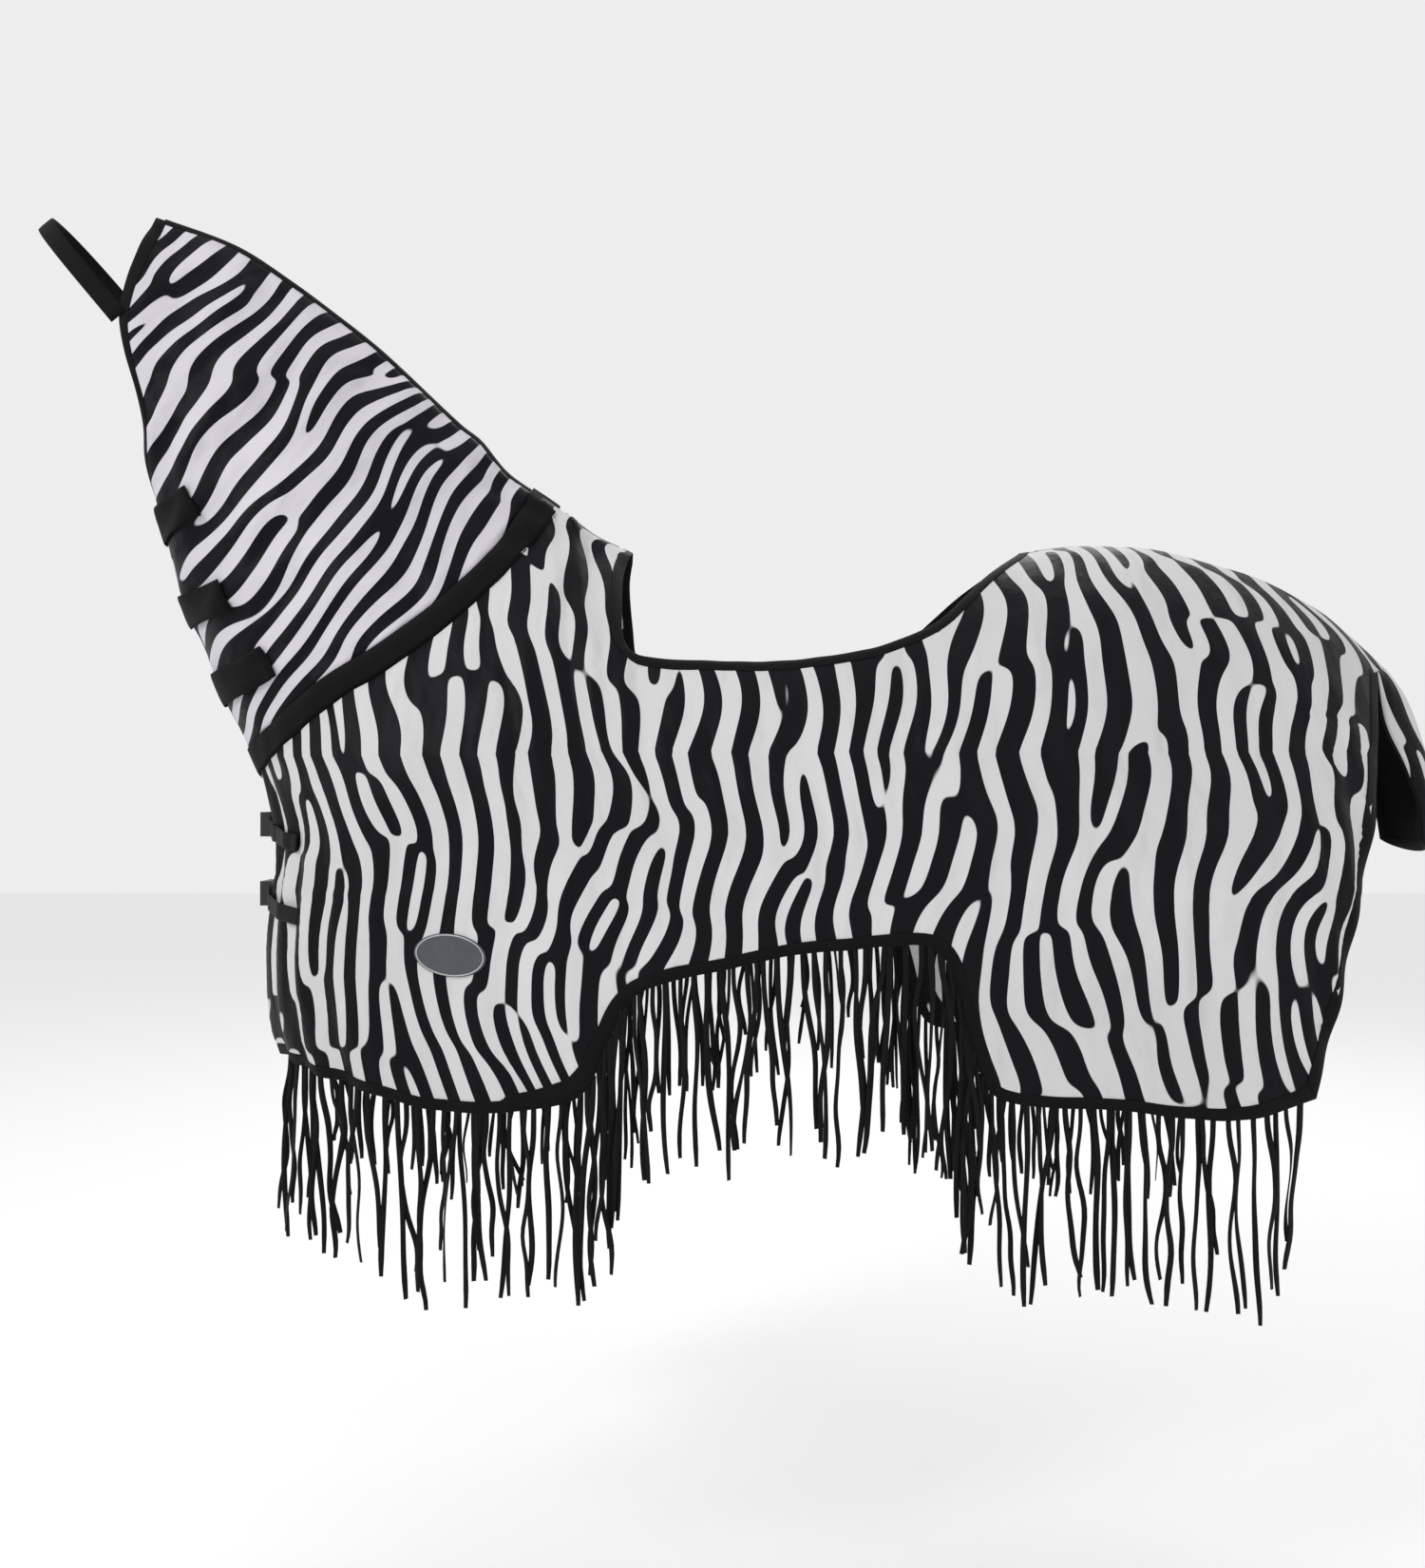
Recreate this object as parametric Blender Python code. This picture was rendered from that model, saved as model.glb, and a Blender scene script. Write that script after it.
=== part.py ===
"""Horse fly sheet with neck cover, chest straps, tail flap and fringe.

Frame: +Z up, the horse faces -X, its left side is -Y, origin at the withers (front top of the
saddle cut-out). The sheet is modelled in the shape that a standing horse gives it.
All lengths are in metres.
"""
import math

import bpy
from mathutils import Matrix, Vector
from mathutils.geometry import delaunay_2d_cdt

# ---------------------------------------------------------------- driving dimensions
CLOTH = 0.003                  # thickness of the printed panels
TAPE = 0.004                   # thickness of a folded edge binding
BAND = 0.0025                  # thickness of each hook-and-loop layer
HEM_WIDTH = 0.016
SADDLE_WIDTH = 0.016
REAR_WIDTH = 0.014
FRONT_WIDTH = 0.014
NECK_FRONT_WIDTH = 0.018
THROAT_WIDTH = 0.015
SEAM_HALF = 0.008              # half width of the tape on the back
CREST_HALF = 0.009
SLANT = 1.25                   # lengthens a band's width where it meets the back at a slant
SADDLE_SLANT = 1.4
NECK_BAND_WIDTH = 0.043
HOOK_LIFT = 0.0037             # hook tape's middle above the loop tape's middle
HOOK_SHARE = 0.93              # its width as a share of the loop tape's
SEAM_GAP = 0.001               # left between pieces that meet edge to edge
PLANE_GAP = 0.001              # left on each side of the middle plane
GRID = 0.065                   # spacing of the points inside a panel
CHEST_GRID = 0.03              # spacing where the panel rounds the chest
CHEST_REACH = 0.20
STEP = 0.05                    # longest straight piece of an edge
MAX_TURN = math.radians(14)    # most that an edge turns between two points
NEARLY_STRAIGHT = 0.3          # sine of a turn that takes no mitre

FRINGE_GAP = 0.004             # from the hem binding to the fringe heading
FRINGE_THICK = 0.005
FRINGE_ROWS = 2                # pieces down a fringe section
WEBBING_WIDTH = 0.025
WEBBING_THICK = 0.002
BROW_WIDTH = 0.027
BADGE_LONG = 0.104
BADGE_SHORT = 0.060
BADGE_THICK = 0.0025
BADGE_AT = (-0.242, -0.603)
BADGE_TILT = math.radians(8)

# ---------------------------------------------------------------- form of the dressed horse
# Line of the back and crest in the middle plane, as x, z.
BACK_LINE = [
    (-0.76, 0.62), (-0.60, 0.475), (-0.40, 0.321), (-0.267, 0.198), (-0.20, 0.128),
    (-0.104, 0.063), (-0.06, 0.026), (0.0, 0.0), (0.10, -0.035), (0.22, -0.048), (0.40, -0.032),
    (0.52, -0.014), (0.61, -0.001), (0.693, 0.010), (0.788, 0.008), (0.836, 0.0),
    (0.956, -0.033), (1.017, -0.062), (1.076, -0.093), (1.142, -0.150), (1.18, -0.186),
    (1.26, -0.27),
]
# Line of the chest and throat in the middle plane, as z, x.
CHEST_LINE = [
    (-0.95, -0.50), (-0.78, -0.540), (-0.744, -0.552), (-0.687, -0.561), (-0.615, -0.564),
    (-0.564, -0.560), (-0.506, -0.551), (-0.432, -0.552), (-0.342, -0.582), (-0.308, -0.599),
    (-0.231, -0.642), (-0.144, -0.677), (0.0, -0.73), (0.1, -0.75),
]
# Half width of the body at its widest, as x, y.
HALF_WIDTH = [
    (-0.60, 0.24), (-0.40, 0.25), (-0.2, 0.27), (0.0, 0.295), (0.2, 0.318), (0.45, 0.322),
    (0.70, 0.312), (0.85, 0.303), (0.96, 0.285), (1.0, 0.272), (1.04, 0.252), (1.075, 0.226),
    (1.11, 0.20), (1.15, 0.172), (1.18, 0.152), (1.26, 0.10),
]
# How sharply the back is ridged: 1 is an ellipse, more is sharper.
RIDGE = [(-0.60, 1.8), (-0.15, 1.8), (0.0, 1.44), (0.3, 1.16), (0.6, 1.04), (1.3, 1.0)]
RIDGE_START = 0.4              # share of the width over which the top stays round
LINE_SOFTEN = 0.018            # rounds the corners of the lines above
TABLE_SOFTEN = 0.03
WIDEST_Z = -0.45
CHEST_DEPTH = 0.24             # distance over which the chest rounds into the side
NECK_CHORD = (-0.59, -0.33)    # lower end of the line that the neck rises from
NECK_CHORD_DIR = (0.663, 0.749)
NECK_NARROWING = 0.34
NECK_FADE = (-0.22, 0.26)      # start and length of the narrowing, across that line
CHEST_TOP = -0.32              # the panels' own front line stays upright above this height
CREST_START = -0.16            # the panels' own top line stays level in front of this

# ---------------------------------------------------------------- outline of a side panel, as x, z
NECKLINE = [(-0.158, 0.095), (-0.205, -0.003), (-0.277, -0.086), (-0.379, -0.166),
            (-0.435, -0.198), (-0.537, -0.275), (-0.596, -0.312)]
SADDLE = [(0.0, 0.0), (-0.009, -0.038), (-0.008, -0.105), (-0.004, -0.151), (0.008, -0.170),
          (0.034, -0.181), (0.140, -0.187), (0.235, -0.187), (0.302, -0.179), (0.371, -0.165),
          (0.448, -0.131), (0.495, -0.090), (0.538, -0.052), (0.610, 0.0)]
TAIL_SEAM = [(1.180, -0.186), (1.163, -0.187), (1.128, -0.195)]
REAR = [(1.128, -0.195), (1.100, -0.270), (1.073, -0.398), (1.039, -0.546), (1.001, -0.677),
        (0.966, -0.801)]
HEM = [(0.966, -0.801), (0.867, -0.826), (0.780, -0.823), (0.687, -0.811), (0.545, -0.801),
       (0.508, -0.786), (0.488, -0.747), (0.466, -0.669), (0.447, -0.606), (0.425, -0.586),
       (0.385, -0.583), (0.321, -0.589), (0.230, -0.598), (0.139, -0.619), (0.076, -0.633),
       (0.026, -0.651), (0.001, -0.676), (-0.019, -0.720), (-0.042, -0.776), (-0.062, -0.799),
       (-0.092, -0.810), (-0.139, -0.819), (-0.207, -0.823), (-0.274, -0.820),
       (-0.344, -0.803), (-0.420, -0.787), (-0.490, -0.775), (-0.545, -0.770)]
EDGE_ORDER = ("neckline", "chest", "hem", "rear", "tail_seam", "croup", "saddle", "withers")
EDGE_WIDTH = {"neckline": NECK_BAND_WIDTH, "chest": FRONT_WIDTH, "hem": HEM_WIDTH,
              "rear": REAR_WIDTH, "tail_seam": 0.003, "croup": SEAM_HALF,
              "saddle": SADDLE_WIDTH, "withers": SEAM_HALF}
ON_MIDDLE = ("chest", "croup", "withers")

# ---------------------------------------------------------------- outline of the neck cover, x, y, z
CREST = [(-0.158, 0.0, 0.095), (-0.20, 0.0, 0.128), (-0.2415, 0.0, 0.1785),
         (-0.267, 0.0, 0.198), (-0.399, 0.0, 0.321), (-0.471, 0.0, 0.378), (-0.54, 0.0, 0.429),
         (-0.624, 0.0, 0.483), (-0.752, 0.0, 0.531)]
THROAT = [(-0.596, 0.0, -0.312), (-0.642, 0.0, -0.231), (-0.6765, 0.0, -0.144),
          (-0.702, 0.0, -0.095), (-0.741, 0.0, 0.066)]
NECK_FRONT = [(-0.752, 0.0, 0.531), (-0.763, -0.052, 0.458), (-0.775, -0.090, 0.346),
              (-0.738, -0.100, 0.203), (-0.743, -0.060, 0.117), (-0.741, 0.0, 0.066)]
NECK_LENGTH = 0.62             # of the flat grid that the neck cover is laid out on
NECK_DEPTH = 0.62
NECK_STEPS = 16
RIDGE_GAP = 0.003              # left on each side of the sharp crest
MEET_GAP = 0.001               # left between the neck cover's pieces
POINT_GAP = 0.006              # closest that two points of its outline come, laid flat
CREST_STEPS = 18
THROAT_STEPS = 12

# Throat straps: place along the throat, and the near end on the left side as u, v.
THROAT_STRAPS = {"upper": (0.93, (0.66, 0.68)), "middle": (0.60, (0.40, 0.74)),
                 "lower": (0.27, (0.145, 0.72))}
STRAP_WIDTH = 0.053
STRAP_FAR_REACH = 0.045
STRAP_LIFT = 0.0065            # strap centre above the neck cover
PAD_LIFT = 0.0038
PAD_THICK = 0.0012
PAD_SHARES = (0.15, 0.95)      # ends of the pad along the strap's last piece
STRAP_STATIONS = 6             # pieces of a strap on each side of the throat
HIGHEST_STRAP = 0.985          # share of the throat that no strap goes past

BROW_MIDDLE = (-0.9165, 0.0, 0.5145)
BROW_START = (-0.775, -0.095, 0.346)
BROW_SHARES = (0.0, 0.25, 0.5, 0.7, 0.84, 0.93, 0.98, 1.0)

# Tail flap: edge line and middle line from the top down, as x, y, z.
FLAP_EDGE = [(1.128, -0.105, -0.195), (1.143, -0.097, -0.270), (1.180, -0.088, -0.340),
             (1.206, -0.078, -0.405), (1.212, -0.072, -0.452)]
FLAP_MIDDLE = [(1.180, 0.0, -0.186), (1.218, 0.0, -0.254), (1.242, 0.0, -0.335),
               (1.245, 0.0, -0.383), (1.235, 0.0, -0.468)]
FLAP_CLOTH = 0.0016
FLAP_START = 0.022             # share of the flap's length left free at the seam
FLAP_END = 0.95                # share of its length where the cloth ends inside the binding
FLAP_IN = 0.957                # share of its length where the binding's inner edge lies
FLAP_TURN = 62                 # degrees round the flap that the cloth covers on each side
BINDING_TURN = 63.5            # degrees where the edge binding starts
FLAP_ROWS = 8

# Fringe sections: first and last x along the hem, strand length.
FRINGE = {
    "chest": (-0.500, -0.345, 0.27),
    "shoulder": (-0.335, -0.066, 0.295),
    "notch_front": (-0.052, 0.018, 0.32),
    "belly": (0.030, 0.424, 0.30),
    "notch_rear": (0.442, 0.498, 0.32),
    "flank": (0.512, 0.730, 0.285),
    "quarter": (0.740, 0.945, 0.29),
}

# Chest closures: height of the buckle, and height and half width of where the strap is sewn on.
CLOSURES = {"upper": (-0.426, -0.451, 0.165), "lower": (-0.534, -0.557, 0.190)}
BUCKLE_WIDTH = 0.038           # across the webbing
BUCKLE_DEPTH = 0.014
SOCKET_LENGTH = 0.030
PLUG_LENGTH = 0.024
PRONG_LENGTH = 0.020
BUCKLE_STAND_OFF = 0.019       # buckle centre in front of the chest line
STRAP_OUT = 0.0065             # strap centre outside the panel
CLOSURE_STEPS = 9
BADGE_SIDES = 32
WALL = 0.0025
RUN_GAP = 0.0006               # clearance round the plug inside the socket

COLOURS = {                    # linear colour, roughness
    "zebra_mesh": ((0.42, 0.41, 0.44), 0.85),
    "black_binding": ((0.006, 0.006, 0.008), 0.8),
    "black_fringe": ((0.004, 0.004, 0.005), 0.75),
    "hook_loop": ((0.007, 0.007, 0.008), 0.95),
    "tail_lining": ((0.003, 0.003, 0.003), 0.9),
    "buckle_plastic": ((0.008, 0.008, 0.009), 0.4),
    "badge_rubber": ((0.05, 0.055, 0.065), 0.5),
}


# ---------------------------------------------------------------- curves
def interpolate(table, key):
    """Straight-line value of a table of (key, value) pairs."""
    if key <= table[0][0]:
        return table[0][1]
    for (a, va), (b, vb) in zip(table, table[1:]):
        if key <= b:
            return va + (vb - va) * (key - a) / (b - a)
    return table[-1][1]


def softened(table, key, step):
    """Table value with its corners rounded."""
    before = interpolate(table, key - step)
    after = interpolate(table, key + step)
    return (before + 2 * interpolate(table, key) + after) / 4


def spline(points, per_span=12):
    """Centripetal Catmull-Rom curve through the points."""
    pts = [Vector(p) for p in points]
    pts = [pts[0] * 2 - pts[1]] + pts + [pts[-1] * 2 - pts[-2]]
    curve = []
    for p0, p1, p2, p3 in zip(pts, pts[1:], pts[2:], pts[3:]):
        t1 = math.sqrt((p1 - p0).length)
        t2 = t1 + math.sqrt((p2 - p1).length)
        t3 = t2 + math.sqrt((p3 - p2).length)
        for i in range(per_span):
            t = t1 + (t2 - t1) * i / per_span
            a1 = p0 * ((t1 - t) / t1) + p1 * (t / t1)
            a2 = p1 * ((t2 - t) / (t2 - t1)) + p2 * ((t - t1) / (t2 - t1))
            a3 = p2 * ((t3 - t) / (t3 - t2)) + p3 * ((t - t2) / (t3 - t2))
            b1 = a1 * ((t2 - t) / t2) + a2 * (t / t2)
            b2 = a2 * ((t3 - t) / (t3 - t1)) + a3 * ((t - t1) / (t3 - t1))
            curve.append(b1 * ((t2 - t) / (t2 - t1)) + b2 * ((t - t1) / (t2 - t1)))
    curve.append(pts[-2].copy())
    return curve


def lengths(curve):
    """Running length at each point of a polyline."""
    total = [0.0]
    for a, b in zip(curve, curve[1:]):
        total.append(total[-1] + (b - a).length)
    return total


def at_share(curve, share):
    """Point at a share 0 to 1 of a polyline's length."""
    run = lengths(curve)
    want = min(max(share, 0.0), 1.0) * run[-1]
    for i in range(1, len(curve)):
        if want <= run[i] or i == len(curve) - 1:
            span = run[i] - run[i - 1]
            return curve[i - 1].lerp(curve[i], (want - run[i - 1]) / span if span else 0.0)


def thinned(curve):
    """Fewer points on a polyline: closer together where it turns."""
    kept = [curve[0]]
    turned = 0.0
    travelled = 0.0
    for i in range(1, len(curve) - 1):
        before = curve[i] - curve[i - 1]
        after = curve[i + 1] - curve[i]
        travelled += before.length
        turned += before.angle(after, 0.0)
        left = (curve[-1] - curve[i]).length
        if (turned > MAX_TURN or travelled > STEP) and travelled > STEP / 5 and left > STEP / 5:
            kept.append(curve[i])
            turned = 0.0
            travelled = 0.0
    kept.append(curve[-1])
    return kept


def smooth_step(t):
    t = min(max(t, 0.0), 1.0)
    return t * t * (3 - 2 * t)


# ---------------------------------------------------------------- the form
def back_z(x):
    return softened(BACK_LINE, x, LINE_SOFTEN)


def chest_x(z):
    return softened(CHEST_LINE, z, LINE_SOFTEN)


def half_width(x, z):
    """Distance of the cloth from the middle plane."""
    top = back_z(x)
    down = min(max((top - z) / (top - WIDEST_Z), 0.0), 1.0)
    arch = math.sqrt(1 - (1 - down) ** 2)
    sharper = (softened(RIDGE, x, TABLE_SOFTEN) - 1) * smooth_step(arch / RIDGE_START)
    across = arch ** (1 + sharper)
    along = min(max((x - chest_x(z)) / CHEST_DEPTH, 0.0), 1.0)
    rounding = math.sqrt(1 - (1 - along) ** 2)
    above = ((z - NECK_CHORD[1]) * NECK_CHORD_DIR[1] - (x - NECK_CHORD[0]) * NECK_CHORD_DIR[0])
    narrow = 1 - NECK_NARROWING * smooth_step((above - NECK_FADE[0]) / NECK_FADE[1])
    return softened(HALF_WIDTH, x, TABLE_SOFTEN) * across * rounding * narrow


def quarter_arc(depth, width, steps=48):
    """Arc length against depth for a quarter of an ellipse: two tables, each way round."""
    arc = [(0.0, 0.0)]
    last = (0.0, 0.0)
    for i in range(1, steps + 1):
        angle = math.pi / 2 * i / steps
        point = (width * math.sin(angle), depth * (1 - math.cos(angle)))
        run = arc[-1][0] + math.hypot(point[0] - last[0], point[1] - last[1])
        arc.append((run, point[1]))
        last = point
    return arc, [(d, a) for a, d in arc]


DOWN_ARC, DOWN_DEPTH = quarter_arc(0.45, 0.30)
CHEST_ARC, CHEST_RUN = quarter_arc(CHEST_DEPTH, 0.25)


def beyond(table, key):
    """Table value that goes on at slope 1 past the table's end."""
    return interpolate(table, key) + max(0.0, key - table[-1][0])


def front_x(z):
    return chest_x(min(z, CHEST_TOP))


def top_z(x):
    return back_z(max(x, CREST_START))


def to_flat(x, z):
    """Cloth coordinates of a place on the side: along from the chest, down from the back."""
    along = beyond(CHEST_RUN, max(x - front_x(z), 0.0))
    down = beyond(DOWN_DEPTH, max(top_z(x) - z, 0.0))
    return Vector((along, down))


def to_place(flat):
    """x and z of a point given in cloth coordinates."""
    run = beyond(CHEST_ARC, max(flat[0], 0.0))
    depth = beyond(DOWN_ARC, max(flat[1], 0.0))
    x = front_x(-0.5) + run
    z = top_z(x) - depth
    for _ in range(40):
        x = (x + front_x(z) + run) / 2
        z = top_z(x) - depth
    return x, z


def body_point(flat):
    """Point of the left side in space."""
    x, z = to_place(flat)
    return Vector((x, -half_width(x, z), z))


def body_normal(flat):
    """Outward direction of the left side."""
    e = 0.006
    a, b = max(flat[0], e), max(flat[1], e)
    along = body_point((a + e, b)) - body_point((a - e, b))
    down = body_point((a, b + e)) - body_point((a, b - e))
    return down.cross(along).normalized()


# ---------------------------------------------------------------- side outline in cloth coordinates
def middle_run(first, last, place):
    steps = max(2, math.ceil(abs(last - first) / STEP))
    return [to_flat(*place(first + (last - first) * i / steps)) for i in range(steps + 1)]


def side_outline():
    """Closed outline of a side as one list of points, and the edge that each point starts."""
    chest_low = HEM[-1][1]
    chest_high = NECKLINE[-1][1]
    runs = {
        "neckline": [to_flat(p.x, p.y) for p in spline(NECKLINE)],
        "chest": middle_run(chest_high, chest_low, lambda z: (chest_x(z), z)),
        "hem": [to_flat(p.x, p.y) for p in spline(HEM)][::-1],
        "rear": [to_flat(p.x, p.y) for p in spline(REAR)][::-1],
        "tail_seam": [to_flat(p.x, p.y) for p in spline(TAIL_SEAM, 4)][::-1],
        "croup": middle_run(TAIL_SEAM[0][0], SADDLE[-1][0], lambda x: (x, back_z(x))),
        "saddle": [to_flat(p.x, p.y) for p in spline(SADDLE)][::-1],
        "withers": middle_run(SADDLE[0][0], NECKLINE[0][0], lambda x: (x, back_z(x))),
    }
    points, labels = [], []
    for edge in EDGE_ORDER:
        run = runs[edge]
        if edge in ON_MIDDLE:
            fixed = 0 if edge == "chest" else 1
            for p in run:
                p[fixed] = 0.0
        else:
            run = thinned(run)
        points += run[:-1]
        labels += [edge] * (len(run) - 1)
    # The corners lie exactly on the middle plane.
    for i, edge in enumerate(labels):
        before = labels[i - 1]
        if before != edge and (edge in ON_MIDDLE or before in ON_MIDDLE):
            middle = edge if edge in ON_MIDDLE else before
            points[i][0 if middle == "chest" else 1] = 0.0
    return points, labels


def inset(points, labels, width):
    """Outline moved inwards by width[edge] on each edge, with mitred corners."""
    area = sum(a.x * b.y - b.x * a.y for a, b in zip(points, points[1:] + points[:1]))
    turn = 1.0 if area > 0 else -1.0
    moved = []
    for i, point in enumerate(points):
        before = (point - points[i - 1]).normalized()
        after = (points[(i + 1) % len(points)] - point).normalized()
        n1 = Vector((-before.y, before.x)) * turn
        n2 = Vector((-after.y, after.x)) * turn
        d1, d2 = width[labels[i - 1]], width[labels[i]]
        det = n1.x * n2.y - n1.y * n2.x
        if abs(det) < NEARLY_STRAIGHT:
            moved.append(point + (n1 + n2).normalized() * (d1 + d2) / 2)
        else:
            x = (d1 * n2.y - d2 * n1.y) / det
            y = (d2 * n1.x - d1 * n2.x) / det
            moved.append(point + Vector((x, y)))
    return moved


def edge_stations(points, labels, edge):
    """Numbers of the outline's points along one edge, its last corner included."""
    numbers = [i for i, label in enumerate(labels) if label == edge]
    return numbers + [(numbers[-1] + 1) % len(points)]


# ---------------------------------------------------------------- neck cover surface
SIDE_POINTS, SIDE_LABELS = side_outline()
NECKLINE_CURVE = [body_point(to_flat(p.x, p.y)) for p in spline(NECKLINE)]
NECKLINE_CURVE[0].y = 0.0
NECKLINE_CURVE[-1] = Vector(THROAT[0])
CREST_CURVE = spline(CREST)
THROAT_CURVE = spline(THROAT)
FRONT_CURVE = spline(NECK_FRONT)
CREST_CURVE[0] = NECKLINE_CURVE[0].copy()


def neck_point(u, v):
    """Left side of the neck cover: u from neckline to head, v from crest to throat."""
    low, high = at_share(NECKLINE_CURVE, v), at_share(FRONT_CURVE, v)
    top, under = at_share(CREST_CURVE, u), at_share(THROAT_CURVE, u)
    corners = (NECKLINE_CURVE[0] * ((1 - u) * (1 - v)) + NECKLINE_CURVE[-1] * ((1 - u) * v)
               + FRONT_CURVE[0] * (u * (1 - v)) + FRONT_CURVE[-1] * (u * v))
    return low * (1 - u) + high * u + top * (1 - v) + under * v - corners


def neck_normal(u, v):
    e = 0.02
    a, b = min(max(u, e), 1 - e), min(max(v, e), 1 - e)
    along = neck_point(a + e, b) - neck_point(a - e, b)
    down = neck_point(a, b + e) - neck_point(a, b - e)
    normal = along.cross(down).normalized()
    return normal if normal.y < 0 else -normal


def neck_share(u, v, way, distance):
    """Change of u or v that moves a point by a distance."""
    e = 0.01
    if way == "u":
        a = min(max(u, e), 1 - e)
        return distance * 2 * e / (neck_point(a + e, v) - neck_point(a - e, v)).length
    b = min(max(v, 2 * e), 1 - 2 * e)
    return distance * 2 * e / (neck_point(u, b + e) - neck_point(u, b - e)).length


# ---------------------------------------------------------------- objects
def clear_scene():
    for old in list(bpy.data.objects):
        bpy.data.objects.remove(old, do_unlink=True)


def material(name):
    found = bpy.data.materials.get(name)
    if found:
        return found
    mat = bpy.data.materials.new(name)
    mat.use_nodes = True
    shader = mat.node_tree.nodes["Principled BSDF"]
    colour, roughness = COLOURS[name]
    shader.inputs["Base Color"].default_value = (*colour, 1.0)
    shader.inputs["Roughness"].default_value = roughness
    shader.inputs["Metallic"].default_value = 0.0
    return mat


def add(name, verts, faces, slot, thickness=None, pivot=(0.0, 0.0, 0.0)):
    """Object from a mesh; a thickness makes a surface solid, half on each side."""
    pivot = Vector(pivot)
    mesh = bpy.data.meshes.new(name)
    mesh.from_pydata([tuple(Vector(v) - pivot) for v in verts], [], faces)
    mesh.update()
    obj = bpy.data.objects.new(name, mesh)
    obj.location = pivot
    bpy.context.scene.collection.objects.link(obj)
    mesh.materials.append(material(slot))
    if thickness:
        solid = obj.modifiers.new("Solidify", "SOLIDIFY")
        solid.thickness = thickness
        solid.offset = 0.0
    return obj


def mirrored(verts, faces):
    return [(v[0], -v[1], v[2]) for v in verts], [tuple(reversed(f)) for f in faces]


def add_pair(name, verts, faces, slot, thickness, pivot=(0.0, 0.0, 0.0)):
    """The left piece and its mirror image on the right."""
    add(name + "_left", verts, faces, slot, thickness, pivot)
    verts, faces = mirrored(verts, faces)
    add(name + "_right", verts, faces, slot, thickness, (pivot[0], -pivot[1], pivot[2]))


def strip(rows):
    """Surface between rows of points that have the same number of points."""
    verts = [p for row in rows for p in row]
    wide = len(rows[0])
    faces = []
    for i in range(len(rows) - 1):
        for j in range(wide - 1):
            a = i * wide + j
            faces.append((a, a + 1, a + wide + 1, a + wide))
    return verts, faces


def inside(point, loop):
    hit = False
    for a, b in zip(loop, loop[1:] + loop[:1]):
        if (a.y > point.y) != (b.y > point.y):
            if point.x < a.x + (b.x - a.x) * (point.y - a.y) / (b.y - a.y):
                hit = not hit
    return hit


def distance_to(point, loop):
    best = 1.0
    for a, b in zip(loop, loop[1:] + loop[:1]):
        side = b - a
        t = min(max((point - a).dot(side) / side.length_squared, 0.0), 1.0)
        best = min(best, (point - a - side * t).length)
    return best


def filled(loop, grid, fine=None, reach=0.0):
    """Triangles of a flat loop with a grid of points inside it, finer up to a reach."""
    low = Vector((min(p.x for p in loop), min(p.y for p in loop)))
    high = Vector((max(p.x for p in loop), max(p.y for p in loop)))
    points = [p.copy() for p in loop]
    edges = [(i, (i + 1) % len(loop)) for i in range(len(loop))]
    for step, start, end in ((grid, reach, high.x), (fine, low.x, reach)):
        if not step:
            continue
        rows = int((high.y - low.y) / (step * 0.87)) + 1
        for j in range(rows + 1):
            shift = step / 2 if j % 2 else 0.0
            for i in range(int((high.x - low.x) / step) + 2):
                p = Vector((low.x + i * step + shift, low.y + j * step * 0.87))
                if start < p.x <= end and inside(p, loop) and distance_to(p, loop) > step * 0.45:
                    points.append(p)
    verts, _, faces, _, _, _ = delaunay_2d_cdt(points, edges, [], 1, 1e-6)
    return verts, [tuple(f) for f in faces]


# ---------------------------------------------------------------- body sheet
def side_width(edge_gap, spine=None):
    """Inset of each edge: the width of its binding and a gap."""
    width = {edge: w + edge_gap for edge, w in EDGE_WIDTH.items()}
    width["rear"] += edge_gap
    for edge in ("croup", "withers"):
        width[edge] = width[edge] + 2 * edge_gap if spine is None else spine
    return width


def add_side_panels():
    loop = inset(SIDE_POINTS, SIDE_LABELS, side_width(SEAM_GAP))
    flat, faces = filled(loop, GRID, CHEST_GRID, CHEST_REACH)
    add_pair("side_panel", [body_point(p) for p in flat], faces, "zebra_mesh", CLOTH)


def edge_rows(edge, lift=0.0):
    """Two points per station, outer and inner edge of a binding, lifted off the form."""
    none = {name: PLANE_GAP if name in ON_MIDDLE else 0.0 for name in EDGE_WIDTH}
    full = side_width(0.0, PLANE_GAP)
    if edge == "neckline":
        full["chest"] = PLANE_GAP
    if edge == "chest":
        none["neckline"] = NECK_BAND_WIDTH
    outer = inset(SIDE_POINTS, SIDE_LABELS, none)
    inner = inset(SIDE_POINTS, SIDE_LABELS, full)
    rows = []
    for i in edge_stations(SIDE_POINTS, SIDE_LABELS, edge):
        rows.append([outer[i], inner[i]])
    trim_ends(rows)
    placed = []
    for row in rows:
        placed.append([body_point(p) + body_normal(p) * lift for p in row])
    return placed


def trim_ends(rows):
    """Pulls both ends of a strip back by the seam gap."""
    for end, beside in ((0, 1), (-1, -2)):
        for k in range(len(rows[0])):
            along = rows[beside][k] - rows[end][k]
            rows[end][k] = rows[end][k] + along.normalized() * SEAM_GAP


def add_side_bindings():
    for edge, name in (("hem", "hem_binding"), ("saddle", "saddle_binding"),
                       ("rear", "rear_binding"), ("chest", "front_binding")):
        verts, faces = strip(edge_rows(edge))
        add_pair(name, verts, faces, "black_binding", TAPE)
    verts, faces = strip(edge_rows("neckline"))
    add_pair("neckline_loop_band", verts, faces, "hook_loop", BAND)


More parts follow.
